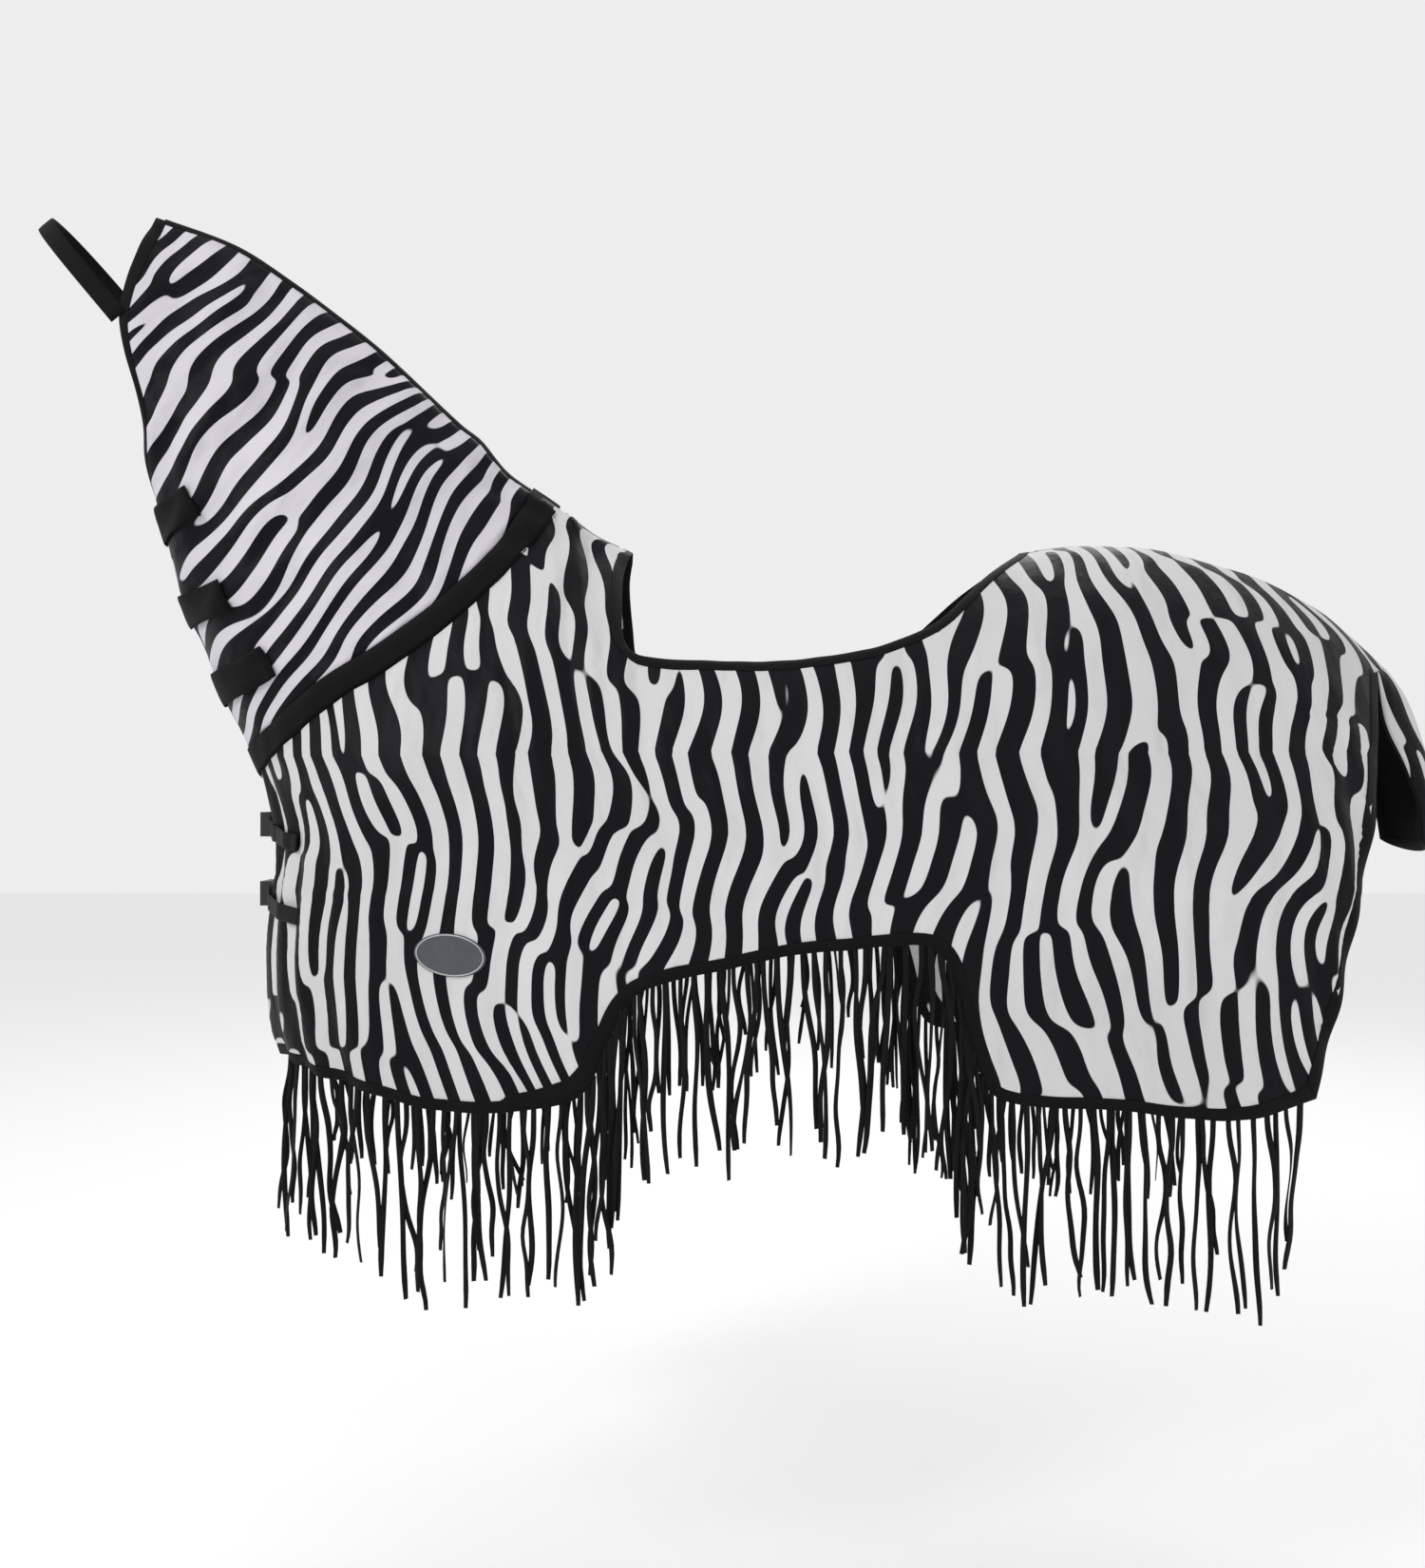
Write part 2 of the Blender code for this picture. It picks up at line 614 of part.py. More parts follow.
def add_back_tape(name, first, last):
    steps = max(2, math.ceil((last - first) / STEP))
    rows = []
    for i in range(steps + 1):
        x = first + (last - first) * i / steps
        along = to_flat(x, back_z(x)).x
        left = body_point((along, SEAM_HALF))
        rows.append([left, body_point((along, 0.0)), Vector((left.x, -left.y, left.z))])
    verts, faces = strip(rows)
    add(name, verts, faces, "black_binding", TAPE)


def add_back_tapes():
    past_band = NECKLINE[0][0] + NECK_BAND_WIDTH * SLANT
    add_back_tape("withers_seam_tape", past_band, SADDLE[0][0] - SADDLE_WIDTH * SLANT)
    add_back_tape("croup_seam_tape", SADDLE[-1][0] + SADDLE_WIDTH * SADDLE_SLANT,
                  TAIL_SEAM[0][0] - TAPE)


def add_badge():
    flat = to_flat(*BADGE_AT)
    normal = body_normal(flat)
    along = Vector((1.0, 0.0, 0.0))
    along = (along - normal * along.dot(normal)).normalized()
    along = Matrix.Rotation(BADGE_TILT, 3, -normal) @ along
    across = normal.cross(along)
    centre = body_point(flat) + normal * (CLOTH / 2 + BADGE_THICK + 0.001)
    sides = BADGE_SIDES
    rows = [[], []]
    for i in range(sides):
        angle = 2 * math.pi * i / sides
        rim = (along * math.cos(angle) * BADGE_LONG / 2
               + across * math.sin(angle) * BADGE_SHORT / 2)
        for row, lift in zip(rows, (-0.5, 0.5)):
            row.append(centre + rim + normal * lift * BADGE_THICK)
    verts = rows[0] + rows[1]
    faces = [tuple(range(sides))[::-1], tuple(range(sides, 2 * sides))]
    for i in range(sides):
        j = (i + 1) % sides
        faces.append((i, j, sides + j, sides + i))
    if (verts[1] - verts[0]).cross(verts[sides] - verts[0]).dot(verts[0] - centre) < 0:
        faces = [tuple(reversed(f)) for f in faces]
    add("badge", verts, faces, "badge_rubber")


# ---------------------------------------------------------------- neck cover
NECK_PIVOT = tuple(CREST[0])


def neck_loop():
    """Outline of the neck panel as u, v, inside its bindings."""
    low_gap = MEET_GAP + SEAM_GAP
    high_gap = NECK_FRONT_WIDTH + SEAM_GAP
    loop = []
    for i in range(NECK_STEPS + 1):
        v = i / NECK_STEPS
        loop.append([neck_share(0.02, v, "u", low_gap), v])
    for i in range(1, NECK_STEPS + 1):
        loop.append([i / NECK_STEPS, 1.0])
    for i in range(1, NECK_STEPS + 1):
        v = 1 - i / NECK_STEPS
        loop.append([1 - neck_share(0.98, v, "u", high_gap), v])
    for i in range(1, NECK_STEPS):
        loop.append([1 - i / NECK_STEPS, 0.0])
    kept = []
    for u, v in loop:
        low = neck_share(0.02, v, "u", low_gap)
        high = 1 - neck_share(0.98, v, "u", high_gap)
        u = min(max(u, low), high)
        v = min(max(v, neck_share(u, 0.05, "v", CREST_HALF + RIDGE_GAP)),
                1 - neck_share(u, 0.95, "v", THROAT_WIDTH + SEAM_GAP))
        point = Vector((u * NECK_LENGTH, v * NECK_DEPTH))
        if not kept or (point - kept[-1]).length > POINT_GAP:
            kept.append(point)
    if (kept[0] - kept[-1]).length < POINT_GAP:
        kept.pop()
    return kept


def add_neck_panels():
    flat, faces = filled(neck_loop(), GRID)
    verts = [neck_point(p.x / NECK_LENGTH, p.y / NECK_DEPTH) for p in flat]
    add_pair("neck_panel", verts, faces, "zebra_mesh", CLOTH, NECK_PIVOT)


def add_crest_tape():
    first = 0.008
    last = 1 - neck_share(0.98, 0.0, "u", NECK_FRONT_WIDTH + MEET_GAP)
    rows = []
    for i in range(CREST_STEPS + 1):
        u = first + (last - first) * i / CREST_STEPS
        left = neck_point(u, neck_share(u, 0.05, "v", CREST_HALF))
        rows.append([left, neck_point(u, 0.0), Vector((left.x, -left.y, left.z))])
    verts, faces = strip(rows)
    add("crest_seam_tape", verts, faces, "black_binding", TAPE, NECK_PIVOT)


def add_neck_bindings():
    rows = []
    for i in range(NECK_STEPS + 1):
        v = i / NECK_STEPS
        v = min(max(v, neck_share(0.98, 0.05, "v", RIDGE_GAP)),
                1 - neck_share(0.98, 0.95, "v", PLANE_GAP * 2))
        inner = 1 - neck_share(0.98, v, "u", NECK_FRONT_WIDTH)
        rows.append([neck_point(inner, v), neck_point(1.0, v)])
    verts, faces = strip(rows)
    add_pair("neck_front_binding", verts, faces, "black_binding", TAPE, NECK_PIVOT)
    rows = []
    first = 0.01
    last = 1 - neck_share(0.98, 1.0, "u", NECK_FRONT_WIDTH + MEET_GAP)
    for i in range(THROAT_STEPS + 1):
        u = first + (last - first) * i / THROAT_STEPS
        inner = 1 - neck_share(u, 0.95, "v", THROAT_WIDTH)
        outer = 1 - neck_share(u, 0.95, "v", PLANE_GAP * 2)
        rows.append([neck_point(u, inner), neck_point(u, outer)])
    verts, faces = strip(rows)
    add_pair("throat_binding", verts, faces, "black_binding", TAPE, NECK_PIVOT)


def add_hook_band():
    """Hook tape of the neck cover, outside the loop tape of the body."""
    rows = edge_rows("neckline", lift=HOOK_LIFT)
    verts, faces = strip([[outer, outer.lerp(inner, HOOK_SHARE)] for outer, inner in rows])
    add_pair("neck_hook_band", verts, faces, "hook_loop", BAND, NECK_PIVOT)


def throat_path(place, end):
    """A strap's centre line as u, v and side: from the right, round the throat, to the left."""
    path = []
    for i in range(STRAP_STATIONS, 0, -1):
        v = 1 - neck_share(place, 0.93, "v", STRAP_FAR_REACH * i / STRAP_STATIONS)
        path.append((place, v, 1))
    for i in range(STRAP_STATIONS + 1):
        share = i / STRAP_STATIONS
        path.append((place + (end[0] - place) * share, 1 + (end[1] - 1) * share, -1))
    return path


def wrap_point(u, v, side):
    """Point and outward direction on one side of the throat."""
    point, normal = neck_point(u, v), neck_normal(u, v)
    if v == 1:
        ahead = neck_point(min(u + 0.05, 1.0), 1.0) - neck_point(u - 0.05, 1.0)
        normal = Vector((0.0, 1.0, 0.0)).cross(ahead).normalized()
        if normal.x > 0:
            normal = -normal
    if side > 0:
        point = Vector((point.x, -point.y, point.z))
        normal = Vector((normal.x, -normal.y, normal.z))
    return point, normal


def strap_rows(place, end, lift):
    """Rows of a strap round the throat: each row has the lower, middle and upper point."""
    rows = []
    for u, v, side in throat_path(place, end):
        half = neck_share(u, v, "u", STRAP_WIDTH / 2)
        row = []
        for shift in (-half, 0.0, half):
            point, normal = wrap_point(min(u + shift, HIGHEST_STRAP), v, side)
            row.append(point + normal * lift)
        rows.append(row)
    return rows


def add_throat_straps():
    for name, (place, end) in THROAT_STRAPS.items():
        rows = strap_rows(place, end, STRAP_LIFT)
        verts, faces = strip(rows)
        add(f"throat_strap_{name}", verts, faces, "hook_loop", BAND, rows[0][1])
        pad = strap_rows(place, end, PAD_LIFT)[-2:]
        pad = [[a.lerp(b, share) for a, b in zip(*pad)] for share in PAD_SHARES]
        verts, faces = strip(pad)
        add(f"throat_loop_pad_{name}", verts, faces, "hook_loop", PAD_THICK, NECK_PIVOT)


def add_browband():
    start, middle = Vector(BROW_START), Vector(BROW_MIDDLE)
    ahead = Vector((middle.x - start.x, 0.0, middle.z - start.z))
    across = Vector((-ahead.z, 0.0, ahead.x)).normalized() * BROW_WIDTH / 2
    rows = []
    for side in (-1, 1):
        part = []
        for t in BROW_SHARES:
            y = abs(start.y) * math.sqrt(1 - t ** 4) * side
            centre = Vector((start.x + ahead.x * t, y, start.z + ahead.z * t))
            part.append([centre - across, centre + across])
        rows += part if side < 0 else part[-2::-1]
    verts, faces = strip(rows)
    add("browband", verts, faces, "black_binding", BAND, (start.x, 0.0, start.z))


# ---------------------------------------------------------------- tail flap
def flap_point(across, down):
    """Tail flap: across from -1 (left) to 1 (right), down from 0 to 1."""
    edge = at_share(spline(FLAP_EDGE, 6), down)
    middle = at_share(spline(FLAP_MIDDLE, 6), down)
    bow = math.sqrt(max(0.0, 1 - across ** 2))
    share = smooth_step(down * 6) if down < 1 / 6 else 1.0
    point = Vector((edge.x + (middle.x - edge.x) * bow, edge.y * abs(across),
                    edge.z + (middle.z - edge.z) * bow))
    seam = seam_point(abs(across))
    point = seam.lerp(point, share)
    return Vector((point.x, point.y if across < 0 else -point.y, point.z))


def seam_point(share):
    """Point of the tail seam, from the back to the left corner."""
    return at_share(TAIL_CURVE, share)


TAIL_CURVE = [body_point(to_flat(p.x, p.y)) for p in spline(TAIL_SEAM, 6)]
TAIL_CURVE[0].y = 0.0
FLAP_PIVOT = (TAIL_SEAM[0][0] + 0.004, 0.0, TAIL_SEAM[0][1] + 0.004)


def flap_rows(low, high, across, lift=0.0):
    rows = []
    for i in range(FLAP_ROWS + 1):
        down = low + (high - low) * i / FLAP_ROWS
        row = []
        for a in across:
            e = 0.02
            side = flap_point(min(a + e, 1.0), down) - flap_point(max(a - e, -1.0), down)
            fall = flap_point(a, min(down + e, 1.0)) - flap_point(a, max(down - e, 0.0))
            normal = side.cross(fall).normalized()
            if normal.x < 0:
                normal = -normal
            row.append(flap_point(a, down) + normal * lift)
        rows.append(row)
    return rows


def add_tail_flap():
    turns = (-FLAP_TURN, -40, -20, 0, 20, 40, FLAP_TURN)
    inner = [math.sin(math.radians(a)) for a in turns]
    lift = FLAP_CLOTH / 2 + 0.0003
    verts, faces = strip(flap_rows(FLAP_START, FLAP_END, inner, lift))
    add("tail_flap", verts, faces, "zebra_mesh", FLAP_CLOTH, FLAP_PIVOT)
    verts, faces = strip(flap_rows(FLAP_START, FLAP_END, inner, -lift))
    add("tail_flap_lining", verts, faces, "tail_lining", FLAP_CLOTH, FLAP_PIVOT)
    # One binding down the left edge, along the bottom and up the right edge.
    edge_in = math.sin(math.radians(BINDING_TURN))
    rows = []
    for i in range(FLAP_ROWS + 1):
        down = FLAP_START + (FLAP_END - 0.005 - FLAP_START) * i / FLAP_ROWS
        rows.append([flap_point(-edge_in, down), flap_point(-1.0, down)])
    rows.append([flap_point(-edge_in, FLAP_IN), flap_point(-1.0, 1.0)])
    for a in inner:
        rows.append([flap_point(a, FLAP_IN), flap_point(a, 1.0)])
    for row in rows[FLAP_ROWS + 1::-1]:
        rows.append([Vector((p.x, -p.y, p.z)) for p in row])
    verts, faces = strip(rows)
    add("tail_flap_binding", verts, faces, "black_binding", TAPE, FLAP_PIVOT)


# ---------------------------------------------------------------- fringe
def fringe_top(first, last):
    """Points just outside the hem, between two values of x."""
    below = {name: -FRINGE_GAP if name == "hem" else 0.0 for name in EDGE_WIDTH}
    outer = inset(SIDE_POINTS, SIDE_LABELS, below)
    run = [outer[i] for i in edge_stations(SIDE_POINTS, SIDE_LABELS, "hem")[1:-1]]
    run = [body_point(p) for p in run]
    run.sort(key=lambda p: p.x)
    table = {axis: [(p.x, p[axis]) for p in run] for axis in (1, 2)}
    xs = [first] + [p.x for p in run if first + 0.008 < p.x < last - 0.008] + [last]
    return [Vector((x, interpolate(table[1], x), interpolate(table[2], x))) for x in xs]


def fringe_axis(name):
    """Point and direction of the line that a fringe section swings about."""
    first, last, _ = FRINGE[name]
    top = fringe_top(first, last)
    middle = Vector((0.0, 0.0, 0.0))
    weight = 0.0
    for a, b in zip(top, top[1:]):
        middle += (a + b) / 2 * (b - a).length
        weight += (b - a).length
    return middle / weight, (top[-1] - top[0]).normalized()


def add_fringe():
    for name, (first, last, drop) in FRINGE.items():
        rows = []
        for point in fringe_top(first, last):
            rows.append([point + Vector((0.0, 0.0, -drop * k / FRINGE_ROWS))
                         for k in range(FRINGE_ROWS + 1)])
        verts, faces = strip(rows)
        pivot, _ = fringe_axis(name)
        add_pair(f"fringe_{name}", verts, faces, "black_fringe", FRINGE_THICK, pivot)


# ---------------------------------------------------------------- chest closures
def box(name, low, high, slot, pivot=(0.0, 0.0, 0.0)):
    verts = [(x, y, z) for x in (low[0], high[0]) for y in (low[1], high[1])
             for z in (low[2], high[2])]
    faces = [(0, 1, 3, 2), (4, 6, 7, 5), (0, 4, 5, 1), (2, 3, 7, 6), (0, 2, 6, 4), (1, 5, 7, 3)]
    return add(name, verts, faces, slot, None, pivot)


def combine(obj, others, operation):
    for i, other in enumerate(others):
        other.hide_render = True
        other.display_type = "WIRE"
        boolean = obj.modifiers.new(f"{operation.title()} {i + 1}", "BOOLEAN")
        boolean.operation = operation
        boolean.solver = "EXACT"
        boolean.object = other


def add_socket(name, x, z):
    """Female half: open towards -Y, with side windows for the latches and a webbing slot."""
    half_w, half_d = BUCKLE_WIDTH / 2, BUCKLE_DEPTH / 2
    pivot = (x, 0.0, z)
    low, high = 0.001, 0.001 + SOCKET_LENGTH
    body = box(f"buckle_socket_{name}", (x - half_d, low, z - half_w),
               (x + half_d, high, z + half_w), "buckle_plastic", pivot)
    hollow = box(f"cut_hollow_{name}", (x - half_d + WALL, low - 0.01, z - half_w + WALL),
                 (x + half_d - WALL, PRONG_LENGTH + 0.002, z + half_w - WALL),
                 "buckle_plastic", pivot)
    window = box(f"cut_window_{name}", (x - 0.003, low + 0.006, z - half_w - 0.01),
                 (x + 0.003, low + 0.015, z + half_w + 0.01), "buckle_plastic", pivot)
    slot = box(f"cut_slot_{name}", (x - 0.02, high - 0.006, z - WEBBING_WIDTH / 2 - 0.001),
               (x + 0.02, high - 0.003, z + WEBBING_WIDTH / 2 + 0.001), "buckle_plastic", pivot)
    combine(body, [hollow, window, slot], "DIFFERENCE")


def add_plug(name, x, z):
    """Male half: a head with a webbing slot, a guide tongue and two latch arms."""
    half_w, half_d = BUCKLE_WIDTH / 2, BUCKLE_DEPTH / 2
    pivot = (x, 0.0, z)
    head = box(f"buckle_plug_{name}", (x - half_d, -PLUG_LENGTH, z - half_w),
               (x + half_d, 0.0, z + half_w), "buckle_plastic", pivot)
    inner_w = half_w - WALL - RUN_GAP
    inner_d = half_d - WALL - RUN_GAP
    tongue = box(f"join_tongue_{name}", (x - inner_d, -0.002, z - 0.004),
                 (x + inner_d, PRONG_LENGTH, z + 0.004), "buckle_plastic", pivot)
    arms = [tongue]
    for side in (-1, 1):
        near, far = sorted((z + side * inner_w, z + side * (inner_w - 0.004)))
        arms.append(box(f"join_arm_{name}_{'low' if side < 0 else 'high'}",
                        (x - inner_d, -0.002, near), (x + inner_d, PRONG_LENGTH - 0.002, far),
                        "buckle_plastic", pivot))
    combine(head, arms, "UNION")
    slot = box(f"cut_plug_slot_{name}",
               (x - 0.02, -PLUG_LENGTH + 0.003, z - WEBBING_WIDTH / 2 - 0.001),
               (x + 0.02, -PLUG_LENGTH + 0.006, z + WEBBING_WIDTH / 2 + 0.001),
               "buckle_plastic", pivot)
    combine(head, [slot], "DIFFERENCE")


def closure_rows(buckle_z, sewn_z, reach, start, side):
    """Centre line of a chest strap as rows across its width, from the buckle to the panel."""
    rows = []
    first_x = chest_x(buckle_z) - BUCKLE_STAND_OFF + BUCKLE_DEPTH / 2 + WEBBING_THICK
    for i in range(CLOSURE_STEPS + 1):
        share = i / CLOSURE_STEPS
        y = start + (reach - start) * share
        z = buckle_z + (sewn_z - buckle_z) * share
        x, beyond_x = chest_x(z), chest_x(z) + CHEST_DEPTH
        for _ in range(30):
            middle = (x + beyond_x) / 2
            if half_width(middle, z) < y:
                x = middle
            else:
                beyond_x = middle
        flat = to_flat(x, z)
        normal = body_normal(flat)
        point = Vector((x, -y, z)) + normal * STRAP_OUT
        ahead = Vector((first_x, -y, z))
        point = ahead.lerp(point, smooth_step(share * 3.0))
        half = Vector((0.0, 0.0, WEBBING_WIDTH / 2))
        point.y *= -side
        rows.append([point - half, point + half])
    return rows


def add_closures():
    for name, (buckle_z, sewn_z, reach) in CLOSURES.items():
        x = chest_x(buckle_z) - BUCKLE_STAND_OFF
        add_socket(name, x, buckle_z)
        add_plug(name, x, buckle_z)
        pivot = (x, 0.0, buckle_z)
        left = closure_rows(buckle_z, sewn_z, reach, PLUG_LENGTH - 0.005, -1)
        verts, faces = strip(left)
        add(f"chest_strap_{name}_left", verts, faces, "black_binding", WEBBING_THICK, pivot)
        right = closure_rows(buckle_z, sewn_z, reach, SOCKET_LENGTH - 0.004, 1)
        verts, faces = strip(right)
        add(f"chest_strap_{name}_right", verts, faces, "black_binding", WEBBING_THICK, pivot)


def main():
    clear_scene()
    add_side_panels()
    add_side_bindings()
    add_back_tapes()
    add_badge()
    add_neck_panels()
    add_crest_tape()
    add_neck_bindings()
    add_hook_band()
    add_throat_straps()
    add_browband()
    add_tail_flap()
    add_fringe()
    add_closures()


main()
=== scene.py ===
"""Looks of the horse fly sheet: fine printed mesh cloth, bindings, tapes and cut fringe.

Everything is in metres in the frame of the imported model: the horse faces -X, its left side is -Y,
the origin is at the withers. The form of the dressed horse is the one that the CAD part uses.
"""
import math
import random

import bpy
import numpy as np
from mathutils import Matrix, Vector
from mathutils.geometry import delaunay_2d_cdt


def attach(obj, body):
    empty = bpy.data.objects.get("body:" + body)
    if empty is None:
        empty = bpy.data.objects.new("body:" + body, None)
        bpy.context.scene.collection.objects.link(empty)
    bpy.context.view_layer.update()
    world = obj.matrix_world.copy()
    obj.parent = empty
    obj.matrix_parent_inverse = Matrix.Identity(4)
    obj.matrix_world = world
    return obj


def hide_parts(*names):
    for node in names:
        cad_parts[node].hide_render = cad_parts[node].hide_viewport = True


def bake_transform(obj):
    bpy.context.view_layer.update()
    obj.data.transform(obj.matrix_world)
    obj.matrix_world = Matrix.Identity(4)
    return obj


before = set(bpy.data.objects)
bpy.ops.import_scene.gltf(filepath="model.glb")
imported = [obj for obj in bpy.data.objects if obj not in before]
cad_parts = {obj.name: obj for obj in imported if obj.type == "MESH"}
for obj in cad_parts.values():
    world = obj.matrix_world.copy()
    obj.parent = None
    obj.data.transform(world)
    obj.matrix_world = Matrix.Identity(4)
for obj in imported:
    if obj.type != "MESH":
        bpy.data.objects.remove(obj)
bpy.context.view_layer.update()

# ---- form of the dressed horse
BACK_LINE = [
    (-0.76, 0.62), (-0.60, 0.475), (-0.40, 0.321), (-0.267, 0.198), (-0.20, 0.128),
    (-0.104, 0.063), (-0.06, 0.026), (0.0, 0.0), (0.10, -0.035), (0.22, -0.048), (0.40, -0.032),
    (0.52, -0.014), (0.61, -0.001), (0.693, 0.010), (0.788, 0.008), (0.836, 0.0),
    (0.956, -0.033), (1.017, -0.062), (1.076, -0.093), (1.142, -0.150), (1.18, -0.186),
    (1.26, -0.27),
]
CHEST_LINE = [
    (-0.95, -0.50), (-0.78, -0.540), (-0.744, -0.552), (-0.687, -0.561), (-0.615, -0.564),
    (-0.564, -0.560), (-0.506, -0.551), (-0.432, -0.552), (-0.342, -0.582), (-0.308, -0.599),
    (-0.231, -0.642), (-0.144, -0.677), (0.0, -0.73), (0.1, -0.75),
]
HALF_WIDTH = [
    (-0.60, 0.24), (-0.40, 0.25), (-0.2, 0.27), (0.0, 0.295), (0.2, 0.318), (0.45, 0.322),
    (0.70, 0.312), (0.85, 0.303), (0.96, 0.285), (1.0, 0.272), (1.04, 0.252), (1.075, 0.226),
    (1.11, 0.20), (1.15, 0.172), (1.18, 0.152), (1.26, 0.10),
]
RIDGE = [(-0.60, 1.8), (-0.15, 1.8), (0.0, 1.44), (0.3, 1.16), (0.6, 1.04), (1.3, 1.0)]
RIDGE_START = 0.4
LINE_SOFTEN = 0.018
TABLE_SOFTEN = 0.03
WIDEST_Z = -0.45
CHEST_DEPTH = 0.24
NECK_CHORD = (-0.59, -0.33)
NECK_CHORD_DIR = (0.663, 0.749)
NECK_NARROWING = 0.34
NECK_FADE = (-0.22, 0.26)
CHEST_TOP = -0.32
CREST_START = -0.16

NECKLINE = [(-0.158, 0.095), (-0.205, -0.003), (-0.277, -0.086), (-0.379, -0.166),
            (-0.435, -0.198), (-0.537, -0.275), (-0.596, -0.312)]
SADDLE = [(0.0, 0.0), (-0.009, -0.038), (-0.008, -0.105), (-0.004, -0.151), (0.008, -0.170),
          (0.034, -0.181), (0.140, -0.187), (0.235, -0.187), (0.302, -0.179), (0.371, -0.165),
          (0.448, -0.131), (0.495, -0.090), (0.538, -0.052), (0.610, 0.0)]
TAIL_SEAM = [(1.180, -0.186), (1.163, -0.187), (1.128, -0.195)]
REAR = [(1.128, -0.195), (1.100, -0.270), (1.073, -0.398), (1.039, -0.546), (1.001, -0.677),
        (0.966, -0.801)]
HEM = [(0.966, -0.801), (0.867, -0.826), (0.780, -0.823), (0.687, -0.811), (0.545, -0.801),
       (0.508, -0.786), (0.488, -0.747), (0.466, -0.669), (0.447, -0.606), (0.425, -0.586),
       (0.385, -0.583), (0.321, -0.589), (0.230, -0.598), (0.139, -0.619), (0.076, -0.633),
       (0.026, -0.651), (0.001, -0.676), (-0.019, -0.720), (-0.042, -0.776), (-0.062, -0.799),
       (-0.092, -0.810), (-0.139, -0.819), (-0.207, -0.823), (-0.274, -0.820),
       (-0.344, -0.803), (-0.420, -0.787), (-0.490, -0.775), (-0.545, -0.770)]
EDGE_WIDTH = {"neckline": 0.043, "chest": 0.014, "hem": 0.016, "rear": 0.014,
              "tail_seam": 0.002, "croup": 0.008, "saddle": 0.016, "withers": 0.008}
ON_MIDDLE = ("chest", "croup", "withers")

CREST = [(-0.158, 0.0, 0.095), (-0.20, 0.0, 0.128), (-0.2415, 0.0, 0.1785),
         (-0.267, 0.0, 0.198), (-0.399, 0.0, 0.321), (-0.471, 0.0, 0.378), (-0.54, 0.0, 0.429),
         (-0.624, 0.0, 0.483), (-0.752, 0.0, 0.531)]
THROAT = [(-0.596, 0.0, -0.312), (-0.642, 0.0, -0.231), (-0.6765, 0.0, -0.144),
          (-0.702, 0.0, -0.095), (-0.741, 0.0, 0.066)]
NECK_FRONT = [(-0.752, 0.0, 0.531), (-0.763, -0.052, 0.458), (-0.775, -0.090, 0.346),
              (-0.738, -0.100, 0.203), (-0.743, -0.060, 0.117), (-0.741, 0.0, 0.066)]
NECK_FRONT_WIDTH = 0.018
THROAT_WIDTH = 0.015
CREST_HALF = 0.009
THROAT_STRAPS = {"upper": (0.93, (0.66, 0.68)), "middle": (0.60, (0.40, 0.74)),
                 "lower": (0.27, (0.145, 0.72))}
STRAP_WIDTH = 0.053
STRAP_FAR_REACH = 0.045
BROW_MIDDLE = (-0.9165, 0.0, 0.5145)
BROW_START = (-0.775, -0.095, 0.346)
BROW_WIDTH = 0.027
FLAP_EDGE = [(1.128, -0.105, -0.195), (1.143, -0.097, -0.270), (1.180, -0.088, -0.340),
             (1.206, -0.078, -0.405), (1.212, -0.072, -0.452)]
FLAP_MIDDLE = [(1.180, 0.0, -0.186), (1.218, 0.0, -0.254), (1.242, 0.0, -0.335),
               (1.245, 0.0, -0.383), (1.235, 0.0, -0.468)]
FRINGE = {
    "chest": (-0.505, -0.340, 0.27), "shoulder": (-0.340, -0.060, 0.295),
    "notch_front": (-0.060, 0.022, 0.32), "belly": (0.022, 0.433, 0.30),
    "notch_rear": (0.433, 0.505, 0.32), "flank": (0.505, 0.735, 0.285),
    "quarter": (0.735, 0.950, 0.29),
}
CLOSURES = {"upper": (-0.426, -0.451, 0.165), "lower": (-0.534, -0.557, 0.190)}
BUCKLE_STAND_OFF = 0.019
BUCKLE_DEPTH = 0.014
SOCKET_LENGTH = 0.030
PLUG_LENGTH = 0.024
WEBBING_WIDTH = 0.025
STRAP_OUT = 0.0065

BADGE_AT = (-0.242, -0.603)
BADGE_HALF = (0.052, 0.030)
BADGE_TURN = math.radians(8)

BODY, NECK = "body_sheet", "neck_cover"
CLOTH = 0.0008                 # real mesh cloth, drawn a little thick
FINE = 0.012                   # spacing of the cloth's points
ROW_RISE = 0.87                # height of a row of them, as a share of that spacing
EDGE_STEP = 0.009
SEAM_GAP = 0.0006              # from a tape's outer line to the middle plane
SEAM_INSET = 0.0008
NECK_SEAM_GAP = 0.0012
FOLD_BULGE = 0.0006            # of a folded tape beyond the edge that it covers
STRIP_THICK = 0.0009
NECK_TOP, NECK_UNDER, NECK_END = 0.05, 0.95, 0.98    # where the neck's scale is read

PRINT_BLACK = (0.0028, 0.0031, 0.0048, 1.0)
PRINT_DRIFT = ((2.2, 0.135, 0.095), (7.0, 0.034, 0.017))
PRINT_WAVES = 12
PRINT_SPREAD = 0.14
PRINT_STRETCH = 0.22
KNIT_PERIOD = 0.0014
STITCH_PITCH = 0.0042
STITCH_IN = 0.0028
STITCH_HALF = 0.0007


# ---- tables and curves, on arrays
def table_value(table, key, soften=0.0):
    keys = [k for k, _ in table]
    values = [v for _, v in table]
    if not soften:
        return np.interp(key, keys, values)
    return (np.interp(key - soften, keys, values) + 2 * np.interp(key, keys, values)
            + np.interp(key + soften, keys, values)) / 4


def smooth(t):
    t = np.clip(t, 0.0, 1.0)
    return t * t * (3 - 2 * t)


